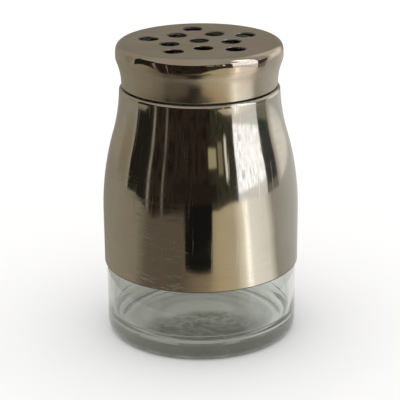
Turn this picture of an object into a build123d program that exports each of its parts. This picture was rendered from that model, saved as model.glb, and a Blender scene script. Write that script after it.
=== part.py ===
from build123d import *

import os
from math import asin, cos, radians, sin

# A table shaker for dry spice: a glass jar in a bonded steel sleeve, closed by a steel
# screw cap with sprinkle holes. Millimetres, +Z up, origin at the centre of the foot.
# The jar's thread and the insert's thread are kept as the plain bands they fill.

# ---- overall sizes ----
OVERALL_HEIGHT = 98.8
SLEEVE_OD = 65.0
SLEEVE_FROM = 24.4          # height of the sleeve's lower edge; clear glass shows below it

# ---- glass jar ----
GLASS_WALL = 2.4
FOOT_TAPER = 0.1            # the foot is narrower than the sleeved wall by this, in radius
FOOT_CORNER = 3.0
BEARING_WIDTH = 4.2         # width of the flat ring that the jar stands on
PUSH_UP = 1.2               # rise of the underside at the middle
BASE_THICKNESS = 2.8        # glass on the axis, above the push-up
FLOOR_CROWN = 0.8           # the floor is higher in the middle than at its edge by this
FLOOR_CORNER = 5.0
SHOULDER_CORNER = 1.8
THROAT_BELOW = 7.5          # the inside starts to close in this far below the neck's foot
THROAT_ABOVE = 1.5          # and has closed to the bore this far above it

# ---- neck finish: 48 mm, one continuous thread ----
THREAD_D = 47.2
THREAD_DEPTH = 1.0
THREAD_PITCH = 4.233
THREAD_TURNS = 1.25
THREAD_FROM_RIM = 3.0       # rim to the top of the thread
THREAD_SLOPE = 0.8          # height of the slope at each end of the thread's band
FINISH_HEIGHT = 13.3        # rim to the neck's foot
NECK_WALL = 2.9
NECK_FOOT_ROUND = 0.7
RIM_ROUND = 0.9

# ---- cap shell ----
CAP_WALL = 0.45
SKIRT_STRAIGHT = 0.9        # height of the upright band above the skirt's edge
RIM_FLARE = 1.75            # the rim stands out past the skirt's edge by this, in radius
RIM_BULGE_SHARE = 0.22      # share of the flare that lies on its outward curve
RIM_SIDE_RADIUS = 12.0      # of the slow curve above the rim's widest line
RIM_SIDE_TURN = 10.0        # degrees that it covers before the tighter corner
RIM_CORNER = 2.5
CURL_RADIUS = 0.62
CURL_TURN = 250.0           # degrees that the skirt's edge is rolled inward

# ---- sprinkle holes ----
HOLE_D = 6.2
HOLES_PER_RING = 5
INNER_RING_R = 10.3
INNER_RING_START = -10.6    # degrees from +X to the first hole of the inner ring
HOLE_MARGIN = 0.1           # from the outer holes to the line of the neck's bore

# ---- threaded insert and liner ----
INSERT_WALL = 0.9
INSERT_FLANGE = 1.0
RIB_COUNT = 12
RIB_WIDTH = 1.2
LINER_THICKNESS = 1.0

# ---- steel sleeve ----
SLEEVE_WALL = 0.4
SLEEVE_STRAIGHT_TO = 41.9   # the wall is a plain cylinder up to here
BELLY_SHARE = 0.61          # share of the shoulder's fall that lies on its outward curve
COLLAR_STEP = 0.75          # the collar stands out past the cap's edge by this, in radius
COLLAR_RUN_OUT = 0.9        # its curve would be upright this far above the cap's edge
LIP_RADIUS = 1.1
LIP_ABOVE_NECK_FOOT = 1.1

# ---- adhesive that bonds the sleeve to the jar's shoulder ----
BOND_HEIGHT = 6.0
BOND_BELOW_STEEPEST = 1.0   # from its upper edge to the steepest point of the shoulder

# ---- clearances ----
SLEEVE_CLEARANCE = 0.2      # sleeve to glass
BOND_SLACK = 0.02           # adhesive to the faces that it fills between
CAP_GAP = 0.3               # sleeve's lip to the cap's edge, when the cap is screwed down
THREAD_CLEARANCE = 0.4      # jar's thread to the insert's bore, in radius
INSERT_CLEARANCE = 0.05     # insert to the shell that it is pressed into
SKIRT_CLEARANCE = 0.1       # insert to the upright band of the skirt, in radius
LINER_SLACK = 0.5           # liner to the insert's bore, in radius
LINER_SETBACK = 0.3         # liner's opening to the line of the neck's bore, in radius
FLANGE_SETBACK = 0.6        # insert's opening to the same line, in radius
LIP_CLEARANCE = 1.0         # jar's thread to the sleeve's opening, in radius

# ---- radii and heights that follow ----
GLASS_INSET = SLEEVE_WALL + SLEEVE_CLEARANCE
GLASS_R = SLEEVE_OD / 2 - GLASS_INSET
FOOT_R = GLASS_R - FOOT_TAPER
NECK_ROOT_R = THREAD_D / 2 - THREAD_DEPTH
NECK_BORE_R = NECK_ROOT_R - NECK_WALL
INSERT_BORE_R = THREAD_D / 2 + THREAD_CLEARANCE
INSERT_R = INSERT_BORE_R + INSERT_WALL
INSERT_OPENING_R = NECK_BORE_R + FLANGE_SETBACK
SKIRT_R = INSERT_R + SKIRT_CLEARANCE + CAP_WALL
RIM_R = SKIRT_R + RIM_FLARE
COLLAR_R = SKIRT_R + COLLAR_STEP
LIP_OPENING_R = THREAD_D / 2 + LIP_CLEARANCE
OUTER_RING_R = NECK_BORE_R - HOLE_MARGIN - HOLE_D / 2

CAP_UNDERSIDE = OVERALL_HEIGHT - CAP_WALL
INSERT_TOP = CAP_UNDERSIDE - INSERT_CLEARANCE
FLANGE_UNDERSIDE = INSERT_TOP - INSERT_FLANGE
RIM_TOP = FLANGE_UNDERSIDE - LINER_THICKNESS
NECK_FOOT = RIM_TOP - FINISH_HEIGHT
SLEEVE_TOP = NECK_FOOT + LIP_ABOVE_NECK_FOOT
CAP_EDGE = SLEEVE_TOP + CAP_GAP
INSERT_EDGE = CAP_EDGE + 2 * CURL_RADIUS + INSERT_CLEARANCE

SIDE_TURN = radians(RIM_SIDE_TURN)
FLAT_R = RIM_R - RIM_SIDE_RADIUS * (1 - cos(SIDE_TURN)) - RIM_CORNER * cos(SIDE_TURN)
RIM_WIDEST = OVERALL_HEIGHT - RIM_CORNER * (1 - sin(SIDE_TURN)) - RIM_SIDE_RADIUS * sin(SIDE_TURN)


def rz(radius, height):
    """The point at a radius and a height, on the half plane that outlines are drawn on."""
    return Vector(radius, 0, height)


def chain(*points):
    """Straight edges from each point to the next."""
    return [Edge.make_line(a, b) for a, b in zip(points, points[1:])]


def arc(centre, radius, start, end):
    """An arc about a point of the half plane, between two angles in degrees."""
    angles = [radians(a) for a in (start, (start + end) / 2, end)]
    points = [centre + rz(radius * cos(a), radius * sin(a)) for a in angles]
    return Edge.make_three_point_arc(*points)


def dome(rise, edge_r, edge_z):
    """A shallow arc from the axis to a rim point, level on the axis and higher there by rise."""
    radius = (edge_r**2 + rise**2) / (2 * rise)
    half = asin(edge_r / radius) / 2
    middle = rz(radius * sin(half), edge_z + rise - radius * (1 - cos(half)))
    return Edge.make_three_point_arc(rz(0, edge_z + rise), middle, rz(edge_r, edge_z))


def turned(edges, rounds=()):
    """Closes an outline, rounds the named corners, and turns it about the Z axis."""
    outline = Face(Wire(edges))
    for corner, radius in rounds:
        vertex = outline.vertices().sort_by_distance(corner)[0]
        outline = outline.fillet_2d(radius, [vertex])
    return revolve(outline, Axis.Z, 360)


class DoubleCurve:
    """Two tangent arcs that join a wide upright wall to a narrow one, seen in section.

    The outward arc leaves the wide wall and the inward arc meets the narrow wall. An inset
    moves the line towards the axis, so that sheets and clearances keep an even thickness.
    """

    def __init__(self, wide, narrow, share):
        fall = wide.X - narrow.X
        rise = narrow.Z - wide.Z
        total = (rise**2 + fall**2) / (2 * fall)
        self.up = 1 if rise > 0 else -1
        self.turn = asin(abs(rise) / total)
        self.out_radius = share * total
        self.in_radius = total - self.out_radius
        self.out_centre = wide - rz(self.out_radius, 0)
        self.in_centre = narrow + rz(self.in_radius, 0)

    def on_out(self, angle, inset):
        """A point of the outward arc, angle radians past the wide wall."""
        radius = self.out_radius - inset
        return self.out_centre + rz(radius * cos(angle), self.up * radius * sin(angle))

    def on_in(self, angle, inset):
        """A point of the inward arc, angle radians before the narrow wall."""
        radius = self.in_radius + inset
        return self.in_centre - rz(radius * cos(angle), self.up * radius * sin(angle))

    def in_angle(self, height, inset):
        """Where the inward arc crosses a height."""
        return asin(self.up * (self.in_centre.Z - height) / (self.in_radius + inset))

    def out_angle(self, height, inset):
        """Where the outward arc crosses a height."""
        return asin(self.up * (height - self.out_centre.Z) / (self.out_radius - inset))

    def out_arc(self, inset, start=0.0, end=None):
        """The outward arc, whole or between two of its angles."""
        end = self.turn if end is None else end
        points = [self.on_out(a, inset) for a in (start, (start + end) / 2, end)]
        return Edge.make_three_point_arc(*points)

    def in_arc(self, inset, end=0.0):
        """The inward arc, from the outward one to an angle before the narrow wall."""
        points = [self.on_in(a, inset) for a in (self.turn, (self.turn + end) / 2, end)]
        return Edge.make_three_point_arc(*points)


shoulder = DoubleCurve(
    rz(SLEEVE_OD / 2, SLEEVE_STRAIGHT_TO), rz(COLLAR_R, CAP_EDGE + COLLAR_RUN_OUT), BELLY_SHARE
)
flare = DoubleCurve(
    rz(RIM_R, RIM_WIDEST), rz(SKIRT_R, CAP_EDGE + SKIRT_STRAIGHT), RIM_BULGE_SHARE
)


# ---- glass jar ----
def glass_outside():
    """The jar's outside, from the underside's middle up to the rim."""
    corner_z = NECK_FOOT - SHOULDER_CORNER
    last = shoulder.in_angle(corner_z, GLASS_INSET)
    corner_start = shoulder.on_in(last, GLASS_INSET)
    corner_centre = corner_start - rz(SHOULDER_CORNER, 0)
    thread_top = RIM_TOP - THREAD_FROM_RIM
    thread_bottom = thread_top - THREAD_TURNS * THREAD_PITCH
    bearing_inner = rz(FOOT_R - FOOT_CORNER - BEARING_WIDTH, 0)
    return [
        dome(PUSH_UP, bearing_inner.X, 0),
        *chain(
            bearing_inner,
            rz(FOOT_R, 0),
            rz(GLASS_R, SLEEVE_FROM),
            shoulder.on_out(0, GLASS_INSET),
        ),
        shoulder.out_arc(GLASS_INSET),
        shoulder.in_arc(GLASS_INSET, last),
        arc(corner_centre, SHOULDER_CORNER, 0, 90),
        *chain(
            corner_centre + rz(0, SHOULDER_CORNER),
            rz(NECK_ROOT_R, NECK_FOOT),
            rz(NECK_ROOT_R, thread_bottom - THREAD_SLOPE),
            rz(THREAD_D / 2, thread_bottom),
            rz(THREAD_D / 2, thread_top),
            rz(NECK_ROOT_R, thread_top + THREAD_SLOPE),
            rz(NECK_ROOT_R, RIM_TOP),
            rz(NECK_BORE_R, RIM_TOP),
        ),
    ]


def glass_inside():
    """The jar's inside, from the rim down to the floor's middle."""
    inset = GLASS_INSET + GLASS_WALL
    floor_z = PUSH_UP + BASE_THICKNESS - FLOOR_CROWN
    floor_r = FOOT_R - GLASS_WALL
    throat_angle = shoulder.in_angle(NECK_FOOT - THROAT_BELOW, inset)
    throat_foot = shoulder.on_in(throat_angle, inset)
    throat_top = rz(NECK_BORE_R, NECK_FOOT + THROAT_ABOVE)
    slopes = [rz(-sin(throat_angle), cos(throat_angle)), rz(0, 1)]
    return [
        *chain(rz(NECK_BORE_R, RIM_TOP), throat_top),
        Edge.make_spline([throat_foot, throat_top], tangents=slopes),
        shoulder.in_arc(inset, throat_angle),
        shoulder.out_arc(inset),
        *chain(shoulder.on_out(0, inset), rz(GLASS_R - GLASS_WALL, SLEEVE_FROM), rz(floor_r, floor_z)),
        dome(FLOOR_CROWN, floor_r, floor_z),
    ]


def glass_jar():
    """A round jar with a thick base, a shoulder that follows the sleeve, and a screw neck."""
    floor_z = PUSH_UP + BASE_THICKNESS - FLOOR_CROWN
    wall_of_glass = chain(rz(0, PUSH_UP), rz(0, floor_z + FLOOR_CROWN))
    rounds = [
        (rz(FOOT_R, 0), FOOT_CORNER),
        (rz(FOOT_R - GLASS_WALL, floor_z), FLOOR_CORNER),
        (rz(NECK_ROOT_R, NECK_FOOT), NECK_FOOT_ROUND),
        (rz(NECK_ROOT_R, RIM_TOP), RIM_ROUND),
        (rz(NECK_BORE_R, RIM_TOP), RIM_ROUND),
    ]
    return turned([*glass_outside(), *glass_inside(), *wall_of_glass], rounds)


# ---- steel sleeve and its bond ----
def steel_sleeve():
    """A drawn tube: plain wall, curved shoulder, and a lip turned in round the neck."""
    bend_z = SLEEVE_TOP - LIP_RADIUS
    outer_end = shoulder.in_angle(bend_z, 0)
    inner_end = shoulder.in_angle(bend_z, SLEEVE_WALL)
    inner_radius = LIP_RADIUS - SLEEVE_WALL
    outer_centre = shoulder.on_in(outer_end, 0) - rz(LIP_RADIUS, 0)
    inner_centre = shoulder.on_in(inner_end, SLEEVE_WALL) - rz(inner_radius, 0)
    lip_underside = SLEEVE_TOP - SLEEVE_WALL
    return turned([
        *chain(rz(SLEEVE_OD / 2, SLEEVE_FROM), shoulder.on_out(0, 0)),
        shoulder.out_arc(0),
        shoulder.in_arc(0, outer_end),
        arc(outer_centre, LIP_RADIUS, 0, 90),
        *chain(
            outer_centre + rz(0, LIP_RADIUS),
            rz(LIP_OPENING_R, SLEEVE_TOP),
            rz(LIP_OPENING_R, lip_underside),
            inner_centre + rz(0, inner_radius),
        ),
        arc(inner_centre, inner_radius, 90, 0),
        shoulder.in_arc(SLEEVE_WALL, inner_end),
        shoulder.out_arc(SLEEVE_WALL),
        *chain(
            shoulder.on_out(0, SLEEVE_WALL),
            rz(SLEEVE_OD / 2 - SLEEVE_WALL, SLEEVE_FROM),
            rz(SLEEVE_OD / 2, SLEEVE_FROM),
        ),
    ])


def sleeve_bond():
    """A band of adhesive between the jar's shoulder and the sleeve."""
    steepest_z = shoulder.on_out(shoulder.turn, 0).Z
    top = shoulder.out_angle(steepest_z - BOND_BELOW_STEEPEST, 0)
    bottom = shoulder.out_angle(steepest_z - BOND_BELOW_STEEPEST - BOND_HEIGHT, 0)
    outer = SLEEVE_WALL + BOND_SLACK
    inner = GLASS_INSET - BOND_SLACK
    return turned([
        shoulder.out_arc(outer, bottom, top),
        *chain(shoulder.on_out(top, outer), shoulder.on_out(top, inner)),
        shoulder.out_arc(inner, bottom, top),
        *chain(shoulder.on_out(bottom, inner), shoulder.on_out(bottom, outer)),
    ])


# ---- cap ----
def sprinkle_holes():
    """The places of the holes: one in the middle and two staggered rings round it."""
    places = [(0.0, 0.0)]
    step = 360 / HOLES_PER_RING
    for ring_r, first in ((INNER_RING_R, INNER_RING_START), (OUTER_RING_R, INNER_RING_START + step / 2)):
        for i in range(HOLES_PER_RING):
            angle = radians(first + i * step)
            places.append((ring_r * cos(angle), ring_r * sin(angle)))
    return places


def shell_line(inset):
    """The cap's section from the upright band of the skirt to the edge of its flat top."""
    return [
        flare.in_arc(inset),
        flare.out_arc(inset),
        arc(rz(RIM_R - RIM_SIDE_RADIUS, RIM_WIDEST), RIM_SIDE_RADIUS - inset, 0, RIM_SIDE_TURN),
        arc(rz(FLAT_R, OVERALL_HEIGHT - RIM_CORNER), RIM_CORNER - inset, RIM_SIDE_TURN, 90),
    ]


def cap_shell():
    """A drawn steel cap: curled edge, flared skirt, bulging rim and a pierced flat top."""
    curl_centre = rz(SKIRT_R - CURL_RADIUS, CAP_EDGE + CURL_RADIUS)
    inner_curl = CURL_RADIUS - CAP_WALL
    curl_end = radians(-CURL_TURN)
    curl_tip = rz(cos(curl_end), sin(curl_end))
    blank = turned([
        *chain(curl_centre + rz(CURL_RADIUS, 0), flare.on_in(0, 0)),
        *shell_line(0),
        *chain(
            rz(FLAT_R, OVERALL_HEIGHT), rz(0, OVERALL_HEIGHT), rz(0, CAP_UNDERSIDE), rz(FLAT_R, CAP_UNDERSIDE)
        ),
        *shell_line(CAP_WALL),
        *chain(flare.on_in(0, CAP_WALL), curl_centre + rz(inner_curl, 0)),
        arc(curl_centre, inner_curl, 0, -CURL_TURN),
        *chain(curl_centre + curl_tip * inner_curl, curl_centre + curl_tip * CURL_RADIUS),
        arc(curl_centre, CURL_RADIUS, 0, -CURL_TURN),
    ])
    punch = Cylinder(HOLE_D / 2, 4 * CAP_WALL)
    for x, y in sprinkle_holes():
        blank -= Pos(x, y, CAP_UNDERSIDE + CAP_WALL / 2) * punch
    return blank


def threaded_insert():
    """A moulded ring pressed into the shell: threaded bore, top flange and outer ribs."""
    inset = CAP_WALL + INSERT_CLEARANCE
    room = turned([
        *chain(
            rz(FLAT_R, INSERT_TOP),
            rz(0, INSERT_TOP),
            rz(0, CAP_EDGE),
            rz(SKIRT_R - inset, CAP_EDGE),
            flare.on_in(0, inset),
        ),
        *shell_line(inset),
    ])
    height = INSERT_TOP - INSERT_EDGE
    middle = (INSERT_TOP + INSERT_EDGE) / 2
    ribs = Pos(0, 0, middle) * Box(2 * RIM_R, RIB_WIDTH, height)
    for i in range(1, RIB_COUNT // 2):
        ribs += Rot(0, 0, i * 360 / RIB_COUNT) * Pos(0, 0, middle) * Box(2 * RIM_R, RIB_WIDTH, height)
    ring = Pos(0, 0, middle) * Cylinder(INSERT_R, height)
    flange = Pos(0, 0, INSERT_TOP - INSERT_FLANGE / 2) * Cylinder(RIM_R, INSERT_FLANGE)
    bore = Pos(0, 0, FLANGE_UNDERSIDE - height / 2) * Cylinder(INSERT_BORE_R, height)
    opening = Pos(0, 0, INSERT_TOP) * Cylinder(INSERT_OPENING_R, 4 * INSERT_FLANGE)
    return room & (ring + ribs + flange) - bore - opening


def cap_liner():
    """A flat sealing washer between the jar's rim and the insert's flange."""
    outer = Cylinder(INSERT_BORE_R - LINER_SLACK, LINER_THICKNESS)
    opening = Cylinder(NECK_BORE_R + LINER_SETBACK, 2 * LINER_THICKNESS)
    return Pos(0, 0, RIM_TOP + LINER_THICKNESS / 2) * (outer - opening)


PARTS = {
    "glass_jar": glass_jar,
    "steel_sleeve": steel_sleeve,
    "sleeve_bond": sleeve_bond,
    "cap_shell": cap_shell,
    "threaded_insert": threaded_insert,
    "cap_liner": cap_liner,
}

os.makedirs("parts", exist_ok=True)
for name, make in PARTS.items():
    export_step(make(), f"parts/{name}.step")
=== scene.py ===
import logging
import math
from collections.abc import Callable, Iterable, Sequence
from dataclasses import dataclass
from enum import Enum
from itertools import pairwise

import bpy
import numpy as np
from mathutils import Matrix, Vector
from mathutils.geometry import delaunay_2d_cdt


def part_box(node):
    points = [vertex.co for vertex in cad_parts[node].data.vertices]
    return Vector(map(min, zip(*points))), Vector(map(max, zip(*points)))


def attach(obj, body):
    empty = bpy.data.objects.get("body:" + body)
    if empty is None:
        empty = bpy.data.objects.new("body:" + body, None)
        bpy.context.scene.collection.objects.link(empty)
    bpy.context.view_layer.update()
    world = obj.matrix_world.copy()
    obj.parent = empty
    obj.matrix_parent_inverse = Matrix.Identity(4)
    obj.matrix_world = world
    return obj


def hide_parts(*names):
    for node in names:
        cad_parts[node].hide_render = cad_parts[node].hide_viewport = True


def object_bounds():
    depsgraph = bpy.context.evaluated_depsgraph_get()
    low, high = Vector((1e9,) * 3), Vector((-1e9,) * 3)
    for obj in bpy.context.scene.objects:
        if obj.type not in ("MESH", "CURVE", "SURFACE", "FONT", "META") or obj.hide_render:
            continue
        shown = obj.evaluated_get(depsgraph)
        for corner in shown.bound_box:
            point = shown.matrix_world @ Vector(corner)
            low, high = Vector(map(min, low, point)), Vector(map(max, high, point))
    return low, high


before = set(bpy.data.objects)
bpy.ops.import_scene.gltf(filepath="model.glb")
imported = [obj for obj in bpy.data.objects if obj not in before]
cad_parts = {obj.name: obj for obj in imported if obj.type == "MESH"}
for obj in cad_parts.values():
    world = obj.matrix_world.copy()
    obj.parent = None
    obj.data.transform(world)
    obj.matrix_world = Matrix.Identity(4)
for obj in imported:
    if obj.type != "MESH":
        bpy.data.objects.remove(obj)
CAD_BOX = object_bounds()

LOG = logging.getLogger("shaker")
FULL_TURN = 2 * math.pi
SAME_RADIUS = 1e-6                      # metres
SAME_POINT = 1e-7                       # metres
SAME_ANGLE = 1e-4                       # radians
SAME_CORNER = 1e-9                      # metres, when the flat top is cut into triangles
ROW_RISE = 0.866                        # from one row of even triangles to the next, per metre of side
RING_COLUMNS = 96                       # of the floor
MIX_LOW, MIX_HIGH, MIX_RESULT = 6, 7, 2  # the Mix node's sockets for colours

Point = tuple[float, float]
Span = tuple[float, float]
Place = tuple[float, float, float]
Colour = tuple[float, float, float]
Triangle = tuple[int, int, int]
BLACK: Colour = (0.0, 0.0, 0.0)


class Body(Enum):
    """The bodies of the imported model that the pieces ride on."""

    JAR = "jar"
    LINER = "liner"
    CAP = "cap"


class Slot(Enum):
    """The record's material slots."""

    GLASS = "clear_glass"
    SLEEVE = "sleeve_steel"
    CAP = "cap_steel"
    INSERT = "insert_plastic"
    LINER = "liner_silicone"
    BOND = "bond_silicone"


# ---------------------------------------------------------------- shader building


class Shade:
    """A node's output. Python's operators work on it by adding Math nodes."""

    def __init__(self, tree: "ShaderTree", socket: bpy.types.NodeSocket) -> None:
        """Wraps one output socket of a tree."""
        self.tree = tree
        self.socket = socket

    def __add__(self, other: "Shade | float") -> "Shade":
        """self + other."""
        return self.tree.maths("ADD", self, other)

    def __radd__(self, other: float) -> "Shade":
        """other + self."""
        return self.tree.maths("ADD", other, self)

    def __sub__(self, other: "Shade | float") -> "Shade":
        """self - other."""
        return self.tree.maths("SUBTRACT", self, other)

    def __rsub__(self, other: float) -> "Shade":
        """other - self."""
        return self.tree.maths("SUBTRACT", other, self)

    def __mul__(self, other: "Shade | float") -> "Shade":
        """self * other."""
        return self.tree.maths("MULTIPLY", self, other)

    def __rmul__(self, other: float) -> "Shade":
        """other * self."""
        return self.tree.maths("MULTIPLY", other, self)

    def __pow__(self, power: float) -> "Shade":
        """self ** power."""
        return self.tree.maths("POWER", self, power)

    def fades(self, low: float, high: float) -> "Shade":
        """Goes smoothly from 0 where self is low to 1 where self is high."""
        inputs = {"Value": self, "From Min": low, "From Max": high}
        return self.tree.node("ShaderNodeMapRange", {"interpolation_type": "SMOOTHSTEP"}, inputs)

    def within(self, low: float, high: float, edge: float) -> "Shade":
        """1 where self is between low and high, fading to 0 over an edge beyond them."""
        return self.fades(low - edge, low) * (1 - self.fades(high, high + edge))

    def blend(self, low: float, high: float) -> "Shade":
        """The number from low, where self is 0, to high, where self is 1."""
        return low + self * (high - low)


Entry = Shade | float | tuple[float, ...]


def solid(colour: Colour, brightness: float = 1.0) -> tuple[float, ...]:
    """A colour as a socket takes it, opaque, and brightened by a factor."""
    return tuple(brightness * part for part in colour) + (1.0,)


class ShaderTree:
    """The node tree of a material or of the world, while it is built."""

    def __init__(self, owner: bpy.types.Material | bpy.types.World) -> None:
        """Starts an empty tree.

        Args:
            owner: what the tree belongs to.
        """
        owner.use_nodes = True
        self.nodes = owner.node_tree.nodes
        self.links = owner.node_tree.links
        self.nodes.clear()

    def node(
        self,
        kind: str,
        settings: dict[str, object] | None = None,
        inputs: dict[str | int, Entry] | None = None,
        output: str | int = 0,
    ) -> Shade | None:
        """Adds any node.

        Args:
            kind: the node's type.
            settings: its properties, set before its inputs; "stops" fills a colour ramp.
            inputs: values or links of its sockets, by name or number.
            output: which of its outputs to hand back.

        Returns:
            That output, or None for a node that has none.
        """
        made = self.nodes.new(kind)
        for name, value in (settings or {}).items():
            if name == "stops":
                self.fill_ramp(made.color_ramp, value)
            else:
                setattr(made, name, value)
        for name, value in (inputs or {}).items():
            socket = made.inputs[name]
            if isinstance(value, Shade):
                self.links.new(value.socket, socket)
            else:
                socket.default_value = value
        return Shade(self, made.outputs[output]) if made.outputs else None

    @staticmethod
    def fill_ramp(ramp: bpy.types.ColorRamp, stops: Sequence[tuple[float, Colour]]) -> None:
        """Gives a colour ramp its stops.

        Args:
            ramp: the ramp.
            stops: each stop's place and colour, in order.
        """
        while len(ramp.elements) < len(stops):
            ramp.elements.new(1.0)
        for element, (place, colour) in zip(ramp.elements, stops):
            element.position = place
            element.color = solid(colour)

    def maths(self, operation: str, *values: Shade | float) -> Shade:
        """The result of one Math node."""
        return self.node("ShaderNodeMath", {"operation": operation}, dict(enumerate(values)))

    def place(self) -> Shade:
        """The point of the surface, in the object's own metres."""
        return self.node("ShaderNodeTexCoord", output="Object")

    def parts(self, vector: Shade) -> tuple[Shade, Shade, Shade]:
        """A vector's three numbers."""
        split = self.node("ShaderNodeSeparateXYZ", inputs={0: vector})
        return tuple(Shade(self, socket) for socket in split.socket.node.outputs)

    def vector(self, x: Entry, y: Entry, z: Entry) -> Shade:
        """A vector from three numbers."""
        return self.node("ShaderNodeCombineXYZ", inputs={0: x, 1: y, 2: z})

    def stretched(self, vector: Shade, factors: Place) -> Shade:
        """A vector with each of its numbers multiplied by its own factor."""
        return self.node("ShaderNodeVectorMath", {"operation": "MULTIPLY"}, {0: vector, 1: factors})

    def mixed(self, share: Entry, low: Entry, high: Entry) -> Shade:
        """The colour from low to high by a share."""
        inputs = {"Factor": share, MIX_LOW: low, MIX_HIGH: high}
        return self.node("ShaderNodeMix", {"data_type": "RGBA"}, inputs, MIX_RESULT)

    def bump(self, height: Shade) -> Shade:
        """The normal of a surface raised by a height in metres."""
        return self.node("ShaderNodeBump", {}, {"Height": height, "Distance": 1.0, "Strength": 1.0}, "Normal")


class Surface(ShaderTree):
    """A material with one Principled shader."""

    def __init__(self, name: str) -> None:
        """Makes the material under its finish's name."""
        self.material = bpy.data.materials.new(name)
        super().__init__(self.material)

    def close(self, inputs: dict[str, Entry], volume: Shade | None = None) -> bpy.types.Material:
        """Adds the Principled shader and the output.

        Args:
            inputs: the shader's values and links.
            volume: what fills the inside.

        Returns:
            The finished material.
        """
        shader = self.node("ShaderNodeBsdfPrincipled", {}, inputs)
        ends = {"Surface": shader}
        if volume is not None:
            ends["Volume"] = volume
        self.node("ShaderNodeOutputMaterial", {}, ends)
        return self.material


class Glow(ShaderTree):
    """A studio panel's material, which shines with its own tone."""

    def __init__(self, name: str) -> None:
        """Makes the material under its panel's name.

        Args:
            name: that name.
        """
        self.material = bpy.data.materials.new(name)
        self.material.cycles.emission_sampling = "NONE"
        super().__init__(self.material)

    def close(self, tone: Entry, cover: Shade | None = None) -> bpy.types.Material:
        """Adds the glow and the output.

        Args:
            tone: the glow's colour.
            cover: how far the panel hides what is behind it, 0 to 1.

        Returns:
            The finished material.
        """
        shown = self.node("ShaderNodeEmission", {}, {"Color": tone, "Strength": 1.0})
        if cover is not None:
            clear = self.node("ShaderNodeBsdfTransparent")
            shown = self.node("ShaderNodeMixShader", {}, {0: cover, 1: clear, 2: shown})
        self.node("ShaderNodeOutputMaterial", {}, {"Surface": shown})
        return self.material


# ---------------------------------------------------------------- finishes


@dataclass(frozen=True)
class Noise:
    """One layer of fractal noise in a finish."""

    scale: float                    # features per metre
    detail: float = 2.0             # octaves
    rough: float = 0.5              # how much each octave counts
    stretch: Place | None = None    # what multiplies each axis
    fade: Span | None = None        # the values between which it goes from 0 to 1

    def over(self, place: Shade) -> Shade:
        """The layer over a surface.

        Args:
            place: where it is looked up.

        Returns:
            Its value, about 0 to 1.
        """
        tree = place.tree
        at = tree.stretched(place, self.stretch) if self.stretch else place
        inputs = {"Vector": at, "Scale": self.scale, "Detail": self.detail, "Roughness": self.rough}
        value = tree.node("ShaderNodeTexNoise", {}, inputs)
        return value.fades(*self.fade) if self.fade else value


@dataclass(frozen=True)
class ScratchSet:
    """One family of fine scratches that run the same way on the unrolled wall."""

    lean: float                     # radians from level
    across: float                   # features per metre, across the scratches
    along: float                    # features per metre, along them
    rarity: float                   # the noise value above which a scratch shows
    soft: float = 0.06              # how gently a scratch's edges fade
    side: float | None = None       # azimuth in degrees round which they are kept, from +X
    up_to: float = 1.0              # height that they end at
    run_out: float = 0.004          # height over which they end
    side_fade: Span = (0.91, 0.975)  # cosines of the turn from that side, for none and for all
    stray: float = 2.5              # how far they bend from straight lines
    bend: Noise = Noise(1.7)

    def draw(self, angle: Shade, radius: float, height: Shade) -> Shade:
        """Draws the scratches as a mask.

        Args:
            angle: radians round the wall.
            radius: the wall's radius.
            height: metres up.

        Returns:
            1 in a scratch, 0 elsewhere.
        """
        tree = angle.tree
        around = angle * radius
        cosine, sine = math.cos(self.lean), math.sin(self.lean)
        along = around * (cosine * self.along) + height * (sine * self.along)
        across = height * (cosine * self.across) - around * (sine * self.across)
        bend = self.bend.over(tree.vector(along, self.lean, 0.0)) * self.stray
        lines = Noise(1.0, 1.0, fade=(self.rarity, self.rarity + self.soft))
        mask = lines.over(tree.vector(along, across + bend, self.lean))
        if self.side is not None:
            turn = tree.maths("COSINE", angle - math.radians(self.side))
            below = 1 - height.fades(self.up_to - self.run_out, self.up_to)
            mask = mask * turn.fades(*self.side_fade) * below
        return mask


@dataclass(frozen=True)
class PaintedShadeLine:
    """A line of painted shade along a crevice or an edge."""

    level: float            # the crevice's height
    below: float            # how far the dust reaches below it
    above: float            # and above it
    depth: float            # how much it darkens
    edge: float = 0.00006   # height over which it fades out

    def share(self, height: Shade) -> Shade:
        """How dark a point at a height is, 0 to depth."""
        return height.within(self.level - self.below, self.level + self.above, self.edge) * self.depth


@dataclass(frozen=True)
class SatinBand:
    """A zone between two heights that is left satin."""

    low: float
    high: float
    rough: float            # its roughness
    edge: float             # height over which it fades out at each side

    def measured(self, low: float, high: float) -> "SatinBand":
        """The same band, with its two ends measured from a low and a high line."""
        return SatinBand(low + self.low, high + self.high, self.rough, self.edge)

    def share(self, height: Shade) -> Shade:
        """How far a point at a height belongs to the band, 0 to 1."""
        return height.within(self.low, self.high, self.edge)


@dataclass(frozen=True)
class Dent:
    """A slight uneven step inwards from a high line down to a low one."""

    low: float
    high: float
    depth: float
    uneven: Noise = Noise(42.0, 1.0, stretch=(1.0, 1.0, 0.0), fade=(0.4, 0.6))

    def draw(self, place: Shade, height: Shade) -> Shade:
        """The step's depth at a point."""
        return (1 - height.fades(self.low, self.high)) * self.uneven.over(place) * self.depth


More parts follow.
